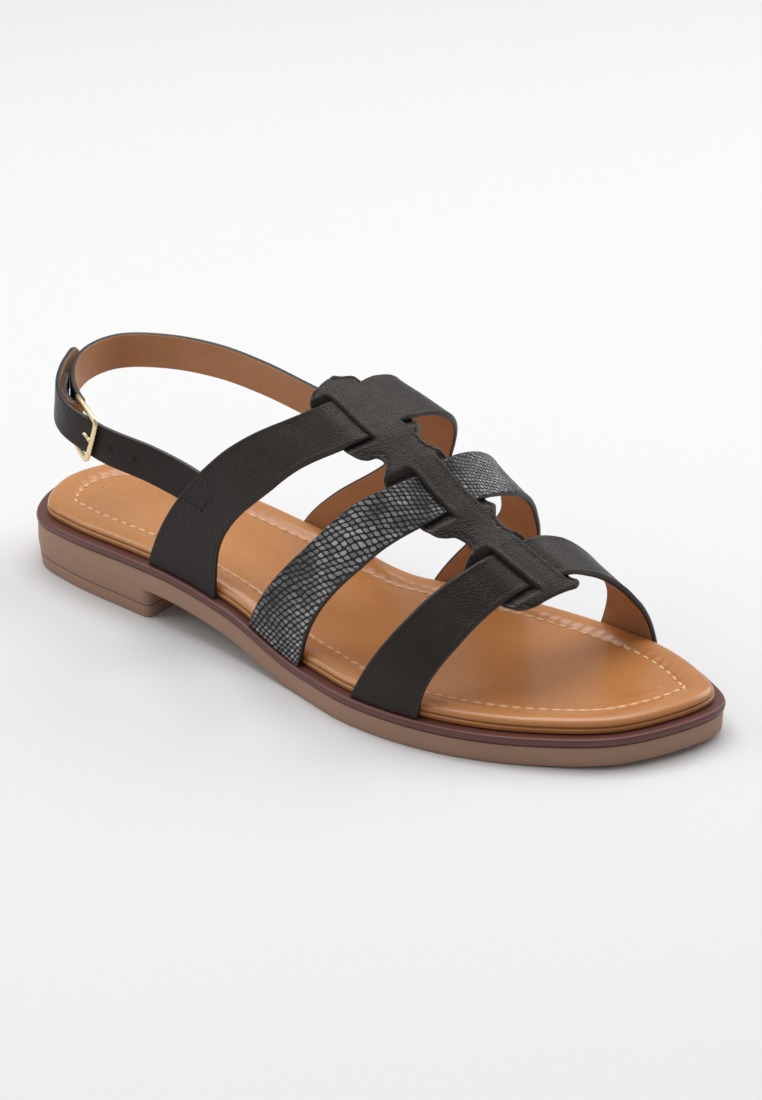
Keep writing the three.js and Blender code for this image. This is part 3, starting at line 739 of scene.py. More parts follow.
# Embossed scales in a lattice of leaning diamonds, on the strap's own map counted in scales.
def scaleLeather():
    look = Look("scaleLeather", {"Specular IOR Level": 0.3})
    across, along, _ = look.axes(look.coords("UV"))
    strayAcross = look.noise(size=9, detail=2) - 0.5
    strayAlong = look.noise(size=8, detail=2, stretch=(1, 1.3, 0.8)) - 0.5
    u = across + scaleSkin["stray"] * strayAcross
    v = along + scaleSkin["stray"] * strayAlong
    (most, some), power = scaleSkin["lean"], scaleSkin["squareness"]
    leaning = (most * u + some * v) / scaleSkin["stretch"]
    standing = most * v - some * u
    p, q = leaning + standing, standing - leaning
    a, b = (2 * abs(value.fract() - 0.5) for value in (p, q))
    edge = (a**power + b**power) ** (1 / power)
    scale = edge.ramp(0.98, 0.7)
    joined = look.node("ShaderNodeCombineXYZ", {}, {0: p.floor(), 1: q.floor()})
    flatNoise = {"noise_dimensions": "2D"}
    chance = look.node("ShaderNodeTexWhiteNoise", flatNoise, {"Vector": joined}, "Value")
    silver = look.blend(chance, scaleSkin["dull"], scaleSkin["silver"])
    worn = look.noise(size=18, detail=2).ramp(0.32, 0.62, start=scaleSkin["worn"])
    face = edge.ramp(0.9, 0.58)
    sockets = {
        "Base Color": look.blend(face * worn, scaleSkin["groove"], silver),
        "Roughness": scaleSkin["roughness"] - 0.16 * scale,
    }
    pitting = scaleSkin["pitting"] * look.noise(size=0.5, detail=2)
    return look.finish(sockets, scaleSkin["rise"] * scale + pitting)


tanSkin = {
    "dark": (0.41, 0.165, 0.047),
    "light": (0.52, 0.235, 0.078),
    "toe": (0.37, 0.125, 0.032),
    "mottle": (0.34, 0.11, 0.025),
    "toeStart": 60,
    "toeEnd": 205,
    "toeShare": 0.3,
    "mottleShare": 0.22,
    "roughness": 0.24,
    "coat": {"Coat Weight": 0.25, "Coat Roughness": 0.22},
}


def tanLeather():
    look = Look("tanLeather", tanSkin["coat"])
    broad = look.noise(size=26, detail=4, stretch=(0.5, 1, 1))
    mottle = look.noise(size=3.2)
    pores = look.cells(0.8).ramp(0.0, 0.2)
    # Darker towards the toe: the toe colour blends in along the shoe's length, up to toeShare.
    toeward = look.axes(look.place())[0].ramp(tanSkin["toeStart"], tanSkin["toeEnd"])
    base = look.blend(broad, tanSkin["dark"], tanSkin["light"])
    warm = look.blend(tanSkin["toeShare"] * toeward, base, tanSkin["toe"])
    patches = mottle.ramp(0.35, 0.75, end=tanSkin["mottleShare"])
    colour = look.blend(patches, warm, tanSkin["mottle"])
    height = 0.012 * pores + 0.03 * mottle + 0.4 * broad
    roughness = tanSkin["roughness"] + 0.12 * mottle
    return look.finish({"Base Color": colour, "Roughness": roughness}, height, strength=0.6)


liningSkin = {
    "dark": (0.34, 0.155, 0.066),
    "light": (0.47, 0.235, 0.108),
    # The punched holes are coloured with painted shade, near black.
    "hole": (0.01, 0.006, 0.004),
    "holeDepth": 0.8,
    "nap": 0.04,
}


def liningLeather(name, holes=None):
    look = Look(name, {"Roughness": 0.6})
    broad = look.noise(size=9, detail=4)
    colour = look.blend(broad, liningSkin["dark"], liningSkin["light"])
    height = liningSkin["nap"] * look.noise(size=0.5) + 0.1 * broad
    # Painted shade: the punched holes take a near-black colour for the shade inside them, and a
    # dent.
    if holes:
        mask = look.punched(holes)
        colour = look.blend(mask, colour, liningSkin["hole"])
        height -= liningSkin["holeDepth"] * mask
    return look.finish({"Base Color": colour}, height, strength=0.6)


# Finishes of one uneven tone: sizes in mm, then colours, relief in mm and roughness.
unevenSkins = {
    "edgePaint": {
        "size": 1.6,
        "detail": 3,
        "dark": (0.01, 0.008, 0.007),
        "light": (0.024, 0.018, 0.016),
        "relief": 0.05,
        "strength": 0.6,
        "roughness": 0.4,
    },
    "blackThread": {
        "size": 0.28,
        "detail": 2,
        "dark": (0.008, 0.007, 0.007),
        "light": (0.03, 0.028, 0.027),
        "relief": 0.06,
        "strength": 0.7,
        "roughness": 0.55,
    },
    "tanThread": {
        "size": 0.28,
        "detail": 2,
        "dark": (0.55, 0.31, 0.13),
        "light": (0.8, 0.53, 0.28),
        "relief": 0.06,
        "strength": 0.7,
        "roughness": 0.55,
    },
}


def unevenLook(name):
    skin = unevenSkins[name]
    look = Look(name, {"Roughness": skin["roughness"]})
    uneven = look.noise(skin["size"], skin["detail"])
    colour = look.blend(uneven, skin["dark"], skin["light"])
    return look.finish({"Base Color": colour}, skin["relief"] * uneven, skin["strength"])


weltSkin = {
    "dark": (0.09, 0.029, 0.024),
    "light": (0.135, 0.047, 0.037),
    "roughness": 0.36,
    "roughnessSpread": 0.12,
    "waves": 0.15,
    "grain": 0.02,
}


def weltLook():
    look = Look("weltLook", {})
    broad = look.noise(size=12)
    colour = look.blend(broad, weltSkin["dark"], weltSkin["light"])
    roughness = weltSkin["roughness"] + weltSkin["roughnessSpread"] * broad
    height = weltSkin["grain"] * look.noise(size=0.6, detail=2) + weltSkin["waves"] * broad
    return look.finish({"Base Color": colour, "Roughness": roughness}, height, strength=0.6)


rubberSkin = {
    "dark": (0.285, 0.16, 0.105),
    "light": (0.33, 0.19, 0.126),
    "scuff": (0.22, 0.12, 0.076),
    "scuffShare": 0.25,
    "roughness": 0.44,
    "roughnessSpread": 0.16,
    "grain": 0.02,
    "scratches": 0.04,
}


def soleRubber():
    look = Look("soleRubber", {})
    base = look.blend(look.noise(size=30), rubberSkin["dark"], rubberSkin["light"])
    scuff = look.noise(size=2.4, detail=5, stretch=(0.25, 0.25, 1.6), roughness=0.7)
    marks = scuff.ramp(0.6, 0.8, end=rubberSkin["scuffShare"])
    colour = look.blend(marks, base, rubberSkin["scuff"])
    roughness = rubberSkin["roughness"] + rubberSkin["roughnessSpread"] * scuff
    height = rubberSkin["grain"] * look.noise(size=0.45, detail=2)
    height += rubberSkin["scratches"] * scuff
    return look.finish({"Base Color": colour, "Roughness": roughness}, height, strength=0.5)


goldSkin = {
    "dark": (0.78, 0.6, 0.34),
    "light": (0.86, 0.7, 0.44),
    "roughness": 0.16,
    "roughnessSpread": 0.1,
    "brushing": 0.01,
}


def goldPlate():
    look = Look("goldPlate", {"Metallic": 1.0})
    brushed = look.noise(size=0.5, detail=2, stretch=(0.3, 1, 1))
    colour = look.blend(brushed, goldSkin["dark"], goldSkin["light"])
    roughness = goldSkin["roughness"] + goldSkin["roughnessSpread"] * brushed
    height = goldSkin["brushing"] * brushed
    return look.finish({"Base Color": colour, "Roughness": roughness}, height, strength=0.4)


floorSkin = {"dark": (0.635, 0.635, 0.637), "light": (0.645, 0.645, 0.647), "size": 400}


def paleFloor():
    look = Look("paleFloor", {"Roughness": 0.7})
    soft = look.noise(floorSkin["size"], detail=2)
    return look.finish({"Base Color": look.blend(soft, floorSkin["dark"], floorSkin["light"])})


black = blackLeather("blackLeather")
scales = scaleLeather()
tan = tanLeather()
lining = liningLeather("liningLeather")
edging = unevenLook("edgePaint")
blackThread = unevenLook("blackThread")
tanThread = unevenLook("tanThread")
weltMaterial = weltLook()
rubber = soleRubber()
gold = goldPlate()
print("materials made")

stitching = {"segments": 8, "rings": 7, "seed": 3, "jitter": 0.06}


# Stitches: one grain of thread on each point, set by its along and up directions.
def stitchTree():
    tree = bpy.data.node_groups.new("stitchRow", "GeometryNodeTree")

    def make(kind, settings, sockets):
        node = tree.nodes.new(kind)
        for key, value in settings.items():
            setattr(node, key, value)
        for key, value in sockets.items():
            if isinstance(value, bpy.types.NodeSocket):
                tree.links.new(value, node.inputs[key])
            else:
                node.inputs[key].default_value = value
        return node.outputs

    face = tree.interface
    floats = [(name, "Float") for name in ("Length", "Width", "Height", "Jitter")]
    for name, kind in (("Geometry", "Geometry"), *floats, ("Seed", "Int"), ("Thread", "Material")):
        face.new_socket(name, in_out="INPUT", socket_type="NodeSocket" + kind)
    face.new_socket("Geometry", in_out="OUTPUT", socket_type="NodeSocketGeometry")
    source = make("NodeGroupInput", {}, {})
    counts = {"Segments": stitching["segments"], "Rings": stitching["rings"], "Radius": 0.5}
    grain = make("GeometryNodeMeshUVSphere", {}, counts)
    sizes = {index: source[name] for index, name in enumerate(("Length", "Width", "Height"))}
    size = make("ShaderNodeCombineXYZ", {}, sizes)
    along, up = (
        make("GeometryNodeInputNamedAttribute", {"data_type": "FLOAT_VECTOR"}, {"Name": name})
        for name in ("along", "up")
    )
    align = "FunctionNodeAlignRotationToVector"
    facing = make(align, {"axis": "X"}, {"Vector": along["Attribute"]})
    upright = {"Rotation": facing[0], "Vector": up["Attribute"]}
    standing = make(align, {"axis": "Z", "pivot_axis": "X"}, upright)
    negative = make("ShaderNodeMath", {"operation": "MULTIPLY"}, {0: source["Jitter"], 1: -1})
    limits = {2: negative[0], 3: source["Jitter"], "Seed": source["Seed"]}
    chance = make("FunctionNodeRandomValue", {"data_type": "FLOAT"}, limits)
    sway = make("ShaderNodeCombineXYZ", {}, {2: chance[1]})
    swayed = make("FunctionNodeEulerToRotation", {}, {0: sway[0]})
    turns = {"Rotation": standing[0], "Rotate By": swayed[0]}
    turned = make("FunctionNodeRotateRotation", {"rotation_space": "LOCAL"}, turns)
    spread = {
        "Points": source["Geometry"],
        "Instance": grain["Mesh"],
        "Rotation": turned[0],
        "Scale": size[0],
    }
    grains = make("GeometryNodeInstanceOnPoints", {}, spread)
    real = make("GeometryNodeRealizeInstances", {}, {0: grains[0]})
    smooth = make("GeometryNodeSetShadeSmooth", {}, {"Geometry": real[0]})
    threaded = {"Geometry": smooth[0], "Material": source["Thread"]}
    coat = make("GeometryNodeSetMaterial", {}, threaded)
    make("NodeGroupOutput", {}, {0: coat[0]})
    return tree


stitchRow = stitchTree()


# row holds the places, and the directions along the thread and out of the leather.
def addStitches(name, row, stitch, thread):
    points, along, up = row
    mesh = bpy.data.meshes.new(name)
    placed = (np.asarray(points) - np.array([shoe["originAhead"], 0, 0])) * mm
    mesh.from_pydata(placed.tolist(), [], [])
    for key, vectors in (("along", along), ("up", up)):
        layer = mesh.attributes.new(key, "FLOAT_VECTOR", "POINT")
        layer.data.foreach_set("vector", np.asarray(vectors, np.float32).ravel())
    piece = bpy.data.objects.new(name, mesh)
    bpy.context.scene.collection.objects.link(piece)
    modifier = piece.modifiers.new("stitches", "NODES")
    modifier.node_group = stitchRow
    inputs = {
        "Length": stitch["length"] * mm,
        "Width": stitch["width"] * mm,
        "Height": stitch["height"] * mm,
        "Jitter": stitching["jitter"],
        "Seed": stitching["seed"],
        "Thread": thread,
    }
    for item in stitchRow.interface.items_tree:
        if item.in_out == "INPUT" and item.name in inputs:
            modifier[item.identifier] = inputs[item.name]
    piece.update_tag()
    graph = bpy.context.evaluated_depsgraph_get()
    graph.update()
    baked = bpy.data.meshes.new_from_object(piece.evaluated_get(graph))
    piece.modifiers.clear()
    piece.data = baked
    piece.data.name = name
    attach(piece, "root")


# Even places along a path at a pitch, with the directions along it and up from it.
def evenPlaces(path, up, pitch, reach=0.4):
    path, up = (np.vstack([values, values[:1]]) for values in (path, up))
    lengths = np.concatenate([[0], np.cumsum(np.linalg.norm(np.diff(path, axis=0), axis=1))])
    count = max(1, round(lengths[-1] / pitch))
    at = (np.arange(count) + 0.5) * lengths[-1] / count

    def pick(values, ahead=0.0):
        return np.stack([np.interp(at + ahead, lengths, column) for column in values.T], axis=1)

    along = pick(path, reach) - pick(path, -reach)
    along /= np.linalg.norm(along, axis=1, keepdims=True)
    return pick(path), along, pick(up)


def makeSole():
    corner, thick = sole["corner"], sole["thickness"]
    plateau = welt["width"] + shoe["fitGap"]
    rows = [(0.9 * corner, 0), (0.3 * corner, 0.12 * corner), (0, 0.6 * corner)]
    rows += [(0, thick * share) for share in (0.3, 0.6, 0.9)]
    rows += [(0.15, thick - 0.1), (0.4, thick), (plateau, thick), (plateau, weltTop)]
    rings = [soleRing(inset, above(lift)) for inset, lift in rows]
    standIn(addStack("outsole_layer", rings, sole["stations"], [rubber]), "outsole")

    # The heel tapers towards the floor. Its block runs up into the sole.
    def taper(height):
        return sole["heelTaper"] * (1 - height / sole["heelRise"])

    low = sole["liftThickness"]
    start = low + shoe["fitGap"]
    chamfer, tuck = 0.25, 0.04
    heelLevels = {
        "heel_block": [
            (taper(start) + chamfer, flat(start)),
            (taper(start), flat(start + 0.3)),
            (tuck, above(-0.2)),
            (tuck, above(2)),
        ],
        "heel_lift_skin": [
            (taper(0) + 0.4, flat(0)),
            (taper(0) + 0.1, flat(0.12)),
            (taper(0), flat(0.45)),
            (taper(low), flat(low - 0.25)),
            (taper(low) + chamfer, flat(low)),
        ],
    }
    stations = sole["heelStations"]
    for name, node in (("heel_block", "outsole"), ("heel_lift_skin", "heel_lift")):
        rings = [
            soleRing(inset, height, sole["heelLength"], stations)
            for inset, height in heelLevels[name]
        ]
        standIn(addStack(name, rings, stations, [rubber]), node)


def makeWelt():
    bead, thick, width, steps = welt["bead"], welt["thickness"], welt["width"], welt["rimSteps"]
    tucked, top = bead + welt["tuck"], thick - welt["sunk"]
    rows = [(tucked, 0)]
    for step in range(steps + 1):
        angle = math.pi * (step / steps - 0.5)
        reach = math.cos(angle) ** welt["rimPower"] if step not in (0, steps) else 0
        rows.append((bead - 2 * bead * reach, (0.5 + 0.5 * math.sin(angle)) * thick))
    rows += [(tucked, top), (width * 0.5, top), (width, top), (width, 0)]
    rings = [soleRing(inset, above(weltBase + lift)) for inset, lift in rows]
    standIn(addSweep("welt_skin", rings, [weltMaterial], closed=True), "welt")


footbed = {
    "inset": 3.4,
    "thickness": 4.7,
    "rimWidth": 10,
    "dish": 0.9,
    "stations": 400,
    "columns": 30,
    "profileSteps": 60,
    "seamRise": 0.68,
    "pucker": {"depth": 0.11, "at": 0.86, "width": 1.5},
    "crease": {"depth": 0.1, "at": 0.2, "width": 2.4, "from": 0.6, "sway": 1.3},
    "creaseRuns": (9, 31, 17),
    "stitch": {"pitch": 4.3, "length": 3.3, "width": 1.25, "height": 1},
}
# The footbed's side and sewn hollow, as shares of its rim's width and its thickness.
footbedProfile = table(
    "share rise",
    (0.02, 0),
    (0, 0.3),
    (0.09, 0.42),
    (0.015, 0.52),
    (0.03, 0.7),
    (0.13, 0.9),
    (0.34, 1),
    (0.64, 0.96),
    (0.87, 0.8),
    (1, 0.66),
    (1.1, 0.71),
    (1.3, 0.69),
    (1.55, 0.66),
)


def makeFootbed():
    stations, rim, thick = footbed["stations"], footbed["rimWidth"], footbed["thickness"]
    pucker, crease, stitch = footbed["pucker"], footbed["crease"], footbed["stitch"]
    knots = np.array([(row["share"] * rim, row["rise"] * thick) for row in footbedProfile])
    profile = splineAt(knots, np.linspace(0, 1, footbed["profileSteps"]))
    profile[-1] = knots[-1]
    seam = soleRing(footbed["inset"] + rim, above(footbedBase), stations=stations)
    steps = np.linalg.norm(np.roll(seam, -1, axis=0) - seam, axis=1)
    run = np.concatenate([[0], np.cumsum(steps)[:-1]])
    pitch = run[-1] / round(run[-1] / stitch["pitch"])
    wave = np.cos(2 * np.pi * run / pitch)
    first, second, third = footbed["creaseRuns"]
    sway = crease["sway"] * np.sin(run / second)
    slow = np.sin(run / first + sway) * np.sin(run / third)
    rings = []
    for inset, lift in profile:
        ring = soleRing(footbed["inset"] + inset, above(footbedBase + lift), stations=stations)
        near = math.exp(-(((inset - pucker["at"] * rim) / pucker["width"]) ** 2))
        side = math.exp(-(((inset - crease["at"] * rim) / crease["width"]) ** 2))
        side *= lift > crease["from"] * thick
        ring[:, 2] += pucker["depth"] * near * wave + crease["depth"] * side * slow
        rings.append(ring)
    dish, columns = footbed["dish"], footbed["columns"]
    piece = addStack("footbed_skin", rings, stations, [tan], dish=dish, columns=columns)
    standIn(piece, "footbed")
    up = np.tile([0.0, 0.0, 1.0], (len(seam), 1))
    seam[:, 2] = underside(seam[:, 0]) + footbedBase + footbed["seamRise"] * thick
    row = evenPlaces(seam, up, pitch)
    addStitches("footbed_stitches", row, stitch, tanThread)


# Distances across a strap: close together at its rounded edges, even between them.
def acrossPlaces(width, columns, radius, edgeSteps=6):
    edge = radius * (1 - np.cos(np.linspace(0, np.pi / 2, edgeSteps)))
    inner = np.linspace(radius, width - radius, columns)[1:-1]
    return np.concatenate([edge, inner, width - edge[::-1]])


# Material slots round a ring of count points on each face: skin 0, lining 1, edges 2.
def skinSlots(count, edge):
    slots = [2] * (2 * count - 2)
    slots[edge : count - 1 - edge] = [0] * (count - 1 - 2 * edge)
    slots[count - 1 + edge : 2 * count - 2 - edge] = [1] * (count - 1 - 2 * edge)
    return slots


# The share of full thickness at a distance across a strap with rounded edges.
def edgeThickness(distance, width, radius):
    into = np.clip(np.minimum(distance, width - distance) / radius, 0, 1)
    return np.sqrt(np.maximum(0, 1 - (1 - into) ** 2))


# A soft ridge, one at its middle.
def ridge(distance, width):
    return np.exp(-((distance / width) ** 2))


# Lengths of the embossed scales along a strap: they shrink towards the slits.
scaleTable = table(
    "turn size",
    (0, 2.2),
    (0.1, 3),
    (0.26, 2.6),
    (0.37, 1.9),
    (0.5, 1.8),
    (0.62, 1.9),
    (1, 2.4),
)
scaleSizes = smoothColumn(scaleTable, "turn", "size")
# Wear creases: their place round and across the strap, then their size and depth in mm.
strapCreases = {
    "rear_strap": table(
        "turn across long wide depth",
        (0.22, 0.55, 15, 3.5, 0.35),
        (0.3, 0.4, 11, 3, 0.28),
        (0.52, 0.5, 8, 2.6, 0.3),
        (0.1, 0.5, 14, 4, 0.2),
    ),
    "middle_strap": table(
        "turn across long wide depth",
        (0.2, 0.5, 16, 4, 0.3),
        (0.55, 0.5, 7, 2.6, 0.25),
        (0.75, 0.4, 12, 3.5, 0.3),
    ),
    "front_strap": table(
        "turn across long wide depth",
        (0.25, 0.6, 12, 3.5, 0.3),
        (0.57, 0.5, 8, 3, 0.3),
        (0.75, 0.4, 12, 3.5, 0.3),
    ),
}


def makeStrap(name, skin):
    back, front = strapEdges[name]
    turns = evenTurns(lambda turn: (back(turn) + front(turn)) / 2, strap["rows"])
    middle = archPoint((back(turns) + front(turns)) / 2, turns)
    steps = np.linalg.norm(np.diff(middle, axis=0), axis=1)
    length = np.sum(steps)
    sizes = scaleSizes(turns)
    scaleRows = np.concatenate([[0], np.cumsum(steps / sizes[1:])])
    half, radius = strap["thickness"] / 2, strap["edgeRadius"]
    rings, maps = [], []
    for turn, size, scaleRow in zip(turns, sizes, scaleRows):
        width = float(np.linalg.norm(archPoint(front(turn), turn) - archPoint(back(turn), turn)))
        places = acrossPlaces(width, strap["columns"], radius)
        xs = back(turn) + (front(turn) - back(turn)) * places / width
        turnsAcross = np.full(len(xs), turn)
        thick = half * edgeThickness(places, width, radius)
        level = threadLevel(xs, turnsAcross)
        for crease in strapCreases[name]:
            ahead = (turn - crease["turn"]) * length
            across = places - crease["across"] * width
            level -= crease["depth"] * ridge(ahead, crease["wide"]) * ridge(across, crease["long"])
        into = np.minimum(places, width - places) - strap["rollInset"]
        rolled = strap["rollHeight"] * ridge(into, strap["rollWidth"]) * (thick > 0)
        outer = raised(xs, turnsAcross, level + thick + rolled)
        inner = raised(xs, turnsAcross, level - thick)
        rings.append(np.vstack([outer, inner[::-1][1:-1]]))
        onMap = np.stack([(places - width / 2) / size, np.full(len(places), scaleRow)], axis=1)
        maps.append(np.vstack([onMap, onMap[::-1][1:-1]]))
    slots = skinSlots(len(places), 4)
    piece = addSweep(name, rings, [skin, lining, edging], sideSlots=slots, uv=maps)
    standIn(piece, "upper")


boxStitch = {"pitch": 2.3, "length": 1.8, "width": 0.6, "height": 0.6, "sidePoints": 40}
boxCorners = table("x turn", (86.1, 0.144), (93.2, 0.134), (87.7, 0.096), (78.2, 0.097))


# A sewn box holds the short strap's end behind the rear strap.
def makeBoxStitches():
    ends = [*boxCorners, boxCorners[0]]
    points = boxStitch["sidePoints"]
    xs, turns = (
        np.concatenate([np.linspace(a[key], b[key], points)[:-1] for a, b in zip(ends, ends[1:])])
        for key in ("x", "turn")
    )
    path = raised(xs, turns, threadLevel(xs, turns) + strap["thickness"] / 2)
    row = evenPlaces(path, archNormal(xs, turns), boxStitch["pitch"])
    addStitches("box_stitches", row, boxStitch, blackThread)


# Over the straps along its bar and under them at its lobes.
def spineLevels(xs, turns, places, bar):
    thickness = (strap["thickness"] + spine["thickness"]) / 2
    over = thickness - spine["barDip"] - spine["pressed"]
    under = spine["lobeRise"] - thickness + spine["pressed"]
    neck = spine["neckRise"]
    outside = np.maximum(bar[0] - places, places - bar[1])
    onLobe = smoothStep(outside, 0, spine["slitWall"])
    lobeCover = strapCover(xs, turns, spine["lobeEase"])
    barLevel = neck + (over - neck) * strapCover(xs, turns, spine["barEase"])
    rolled = spine["rollHeight"] * ridge(outside + spine["rollInset"], spine["rollWidth"])
    return barLevel + (under - barLevel) * lobeCover * onLobe + rolled * lobeCover


# Both edges of the centre piece at a length along it, and the ends of its bar.
def spineSides(along):
    row = {name: float(curve(along / shoe["length"])) for name, curve in spineCurves.items()}
    outer, inner, shift = (row[name] * spine["halfWidth"] for name in ("outer", "inner", "shift"))
    reach, rest = spine["barHalf"], 1 + spine["slitWall"]
    return outer, inner, (-min(reach - shift, outer - rest), min(reach + shift, inner - rest))


def spinePoints(along, places, bar):
    xs = along + spine["slant"] * places
    turns = np.array([turnAside(x, place) for x, place in zip(xs, places)])
    normals = archNormal(xs, turns)
    levels = spineLevels(xs, turns, places, bar)
    return archPoint(xs, turns) + normals * levels[:, None], normals, strapCover(xs, turns, 1)


spineStart = spineTable[0]["at"] * shoe["length"]
spineEnd = spineTable[-1]["at"] * shoe["length"]


def makeSpine():
    half, radius = spine["thickness"] / 2, spine["edgeRadius"]
    columns, flank = spine["columns"], spine["barFlank"]
    edge = radius * (1 - np.cos(np.linspace(0, np.pi / 2, spine["edgeSteps"])))

    # Distances from the edge in to the bar's inner side.
    def side(reach, barEdge):
        wall = barEdge + spine["slitWall"]
        outside = max(reach - radius, wall + spine["endThin"])
        body = np.linspace(outside, wall, columns["body"])[1:]
        step = np.linspace(wall, barEdge, columns["wall"])[1:]
        rest = np.linspace(barEdge, max(barEdge - flank, 0.0), columns["bar"])[1:]
        return np.concatenate([reach - edge, body, step, rest])

    even = np.linspace(0, 1, spine["rows"] + 1)
    crowded = spine["crowded"]
    shares = crowded * (1 - np.cos(np.pi * even)) / 2 + (1 - crowded) * even
    rings = []
    for along in spineStart + (spineEnd - spineStart) * shares:
        outerReach, innerReach, bar = spineSides(along)
        into = min(1, min(along - spineStart, spineEnd - along) / radius)
        endThick = max(spine["endThin"], math.sqrt(1 - (1 - into) ** 2))
        outer, inner = -side(outerReach, -bar[0]), side(innerReach, bar[1])
        middle = np.linspace(outer[-1], inner[-1], columns["middle"])[1:-1]
        places = np.concatenate([outer, middle, inner[::-1]])
        into = np.minimum(places + outerReach, innerReach - places)
        thick = half * endThick * edgeThickness(into, outerReach + innerReach, radius)
        seam = spine["seamDepth"] * ridge(into - spine["stitchInset"], spine["seamWidth"])
        points, normals, _ = spinePoints(along, places, bar)
        top = points + normals * (thick - seam)[:, None]
        under = points - normals * thick[:, None]
        rings.append(np.vstack([top, under[::-1][1:-1]]))
    slots = skinSlots(len(places), 4)
    piece = addSweep("centre_piece", rings, [black, lining, edging], sideSlots=slots)
    standIn(piece, "upper")


# Stitches follow the centre piece's edge wherever no strap covers it.
def makeSpineStitches():
    inset, ends = spine["stitchInset"], spine["stitchEnds"]
    rise = spine["thickness"] / 2 - spine["stitchSunk"]
    outerRow, innerRow = [], []
    for along in np.linspace(spineStart + ends, spineEnd - ends, spine["stitchSteps"]):
        outerReach, innerReach, bar = spineSides(along)
        places = np.array([inset - outerReach, innerReach - inset])
        points, normals, covers = spinePoints(along, places, bar)
        for k, row in enumerate((outerRow, innerRow)):
            row.append((points[k] + normals[k] * rise, normals[k], covers[k]))
    path, ups, covers = (np.array(values) for values in zip(*outerRow, *innerRow[::-1]))
    row = evenPlaces(path, ups, spine["stitch"]["pitch"])
    nearest = np.argmin(np.linalg.norm(row[0][:, None] - path[None], axis=2), axis=1)
    keep = covers[nearest] < spine["stitchBare"]
    row = [values[keep] for values in row]
    addStitches("centre_stitches", row, spine["stitch"], blackThread)


sling = {
    "width": 13.2,
    "thickness": 1.8,
    "height": 70.5,
    "tail": 33,
    "tailBend": 8,
    "tailGap": 1.6,
    "tailLift": 2.4,
    "tipShare": 0.4,
    "tipNarrow": 0.75,
    "edgeRadius": 0.8,
    "behindStrap": 0.2,
    "rows": 260,
    "heelRows": 200,
    "columns": 9,
    "fineSteps": 4000,
}
# The free run of the ankle loop, as shares of length, ball width and height, with its lean.
slingTable = table(
    "at side height lean",
    (0.247, -0.322, 0.813, 7),
    (0.173, -0.335, 0.872, 4),
    (0.103, -0.264, 0.943, 2),
    (0.064, -0.13, 0.985, 0),
    (0.05, 0.011, 1, 0),
    (0.06, 0.16, 1, 0),
    (0.112, 0.262, 1.005, 2),
    (0.183, 0.313, 1.004, 3),
    (0.258, 0.318, 0.989, 4),
    (0.342, 0.29, 0.968, 5),
)
# The sewn ends behind the rear strap.
outerEnd = table("at turn lean", (0.36, 0.111, 8), (0.302, 0.1165, 8))
innerEnd = table("at turn lean", (0.43, 0.8, 8.5), (0.51, 0.8, 8.5))


def makeSlingCurve():
    gap = (strap["thickness"] + sling["thickness"]) / 2 + shoe["fitGap"] + sling["behindStrap"]
    tucked = [
        [raised(end["at"] * shoe["length"], end["turn"], -gap) for end in ends]
        for ends in (outerEnd, innerEnd)
    ]
    scales = {"at": shoe["length"], "side": shoe["ballWidth"], "height": sling["height"]}
    free = [tuple(row[name] * scale for name, scale in scales.items()) for row in slingTable]
    points = np.array([*tucked[0], *free, *tucked[1]])
    leans = [row["lean"] for row in (*outerEnd, *slingTable, *innerEnd)]
    shares = np.linspace(0, 1, sling["fineSteps"])
    fine = splineAt(points, shares)
    runs = np.concatenate([[0], np.cumsum(np.linalg.norm(np.diff(fine, axis=0), axis=1))])
    return points, np.array(leans, float), shares, runs


slingPoints, slingLeans, slingShares, slingRuns = makeSlingCurve()
slingLength = slingRuns[-1]


# A place by its run along the loop, its distance out of it and up across it.
def slingPlace(run, out, up):
    at = float(np.clip(run, 0, slingLength))
    share, step = float(np.interp(at, slingRuns, slingShares)), 0.0005
    point = splineAt(slingPoints, share)
    ahead = splineAt(slingPoints, min(1, share + step))
    behind = splineAt(slingPoints, max(0, share - step))
    along = (ahead - behind) / np.linalg.norm(ahead - behind)
    knot = share * (len(slingLeans) - 1)
    lean = math.radians(float(np.interp(knot, range(len(slingLeans)), slingLeans)))
    rise = np.array([0, 0, 1]) - along * along[2]
    rise /= np.linalg.norm(rise)
    outward = np.cross(rise, along)
    turned = rise * math.cos(lean) + np.cross(along, rise) * math.sin(lean)
    face = outward * math.cos(lean) + np.cross(along, outward) * math.sin(lean)
    return point + face * out + turned * up


def slingSkin(name, steps, node, outside, inside):
    steps = np.asarray(steps, float)
    slopes = np.arctan2(np.gradient(steps[:, 1]), np.gradient(steps[:, 0]))
    half, radius = sling["thickness"] / 2, sling["edgeRadius"]
    rings, maps = [], []
    for (run, out, narrow), slope in zip(steps, slopes):
        wide = sling["width"] - 2 * narrow
        places = acrossPlaces(wide, sling["columns"], radius)
        thick = half * edgeThickness(places, wide, radius)
        outer, inner = (
            [
                slingPlace(run - t * math.sin(slope), out + t * math.cos(slope), up)
                for t, up in zip(sign * thick, places - wide / 2)
            ]
            for sign in (1, -1)
        )
        rings.append(np.vstack([outer, inner[::-1][1:-1]]))
        onMap = np.stack([places + narrow, np.full(len(places), run)], axis=1)
        maps.append(np.vstack([onMap, onMap[::-1][1:-1]]))
    slots = skinSlots(len(places), 3)
    piece = addSweep(name, rings, [outside, inside, edging], sideSlots=slots, uv=maps)
    standIn(piece, node)


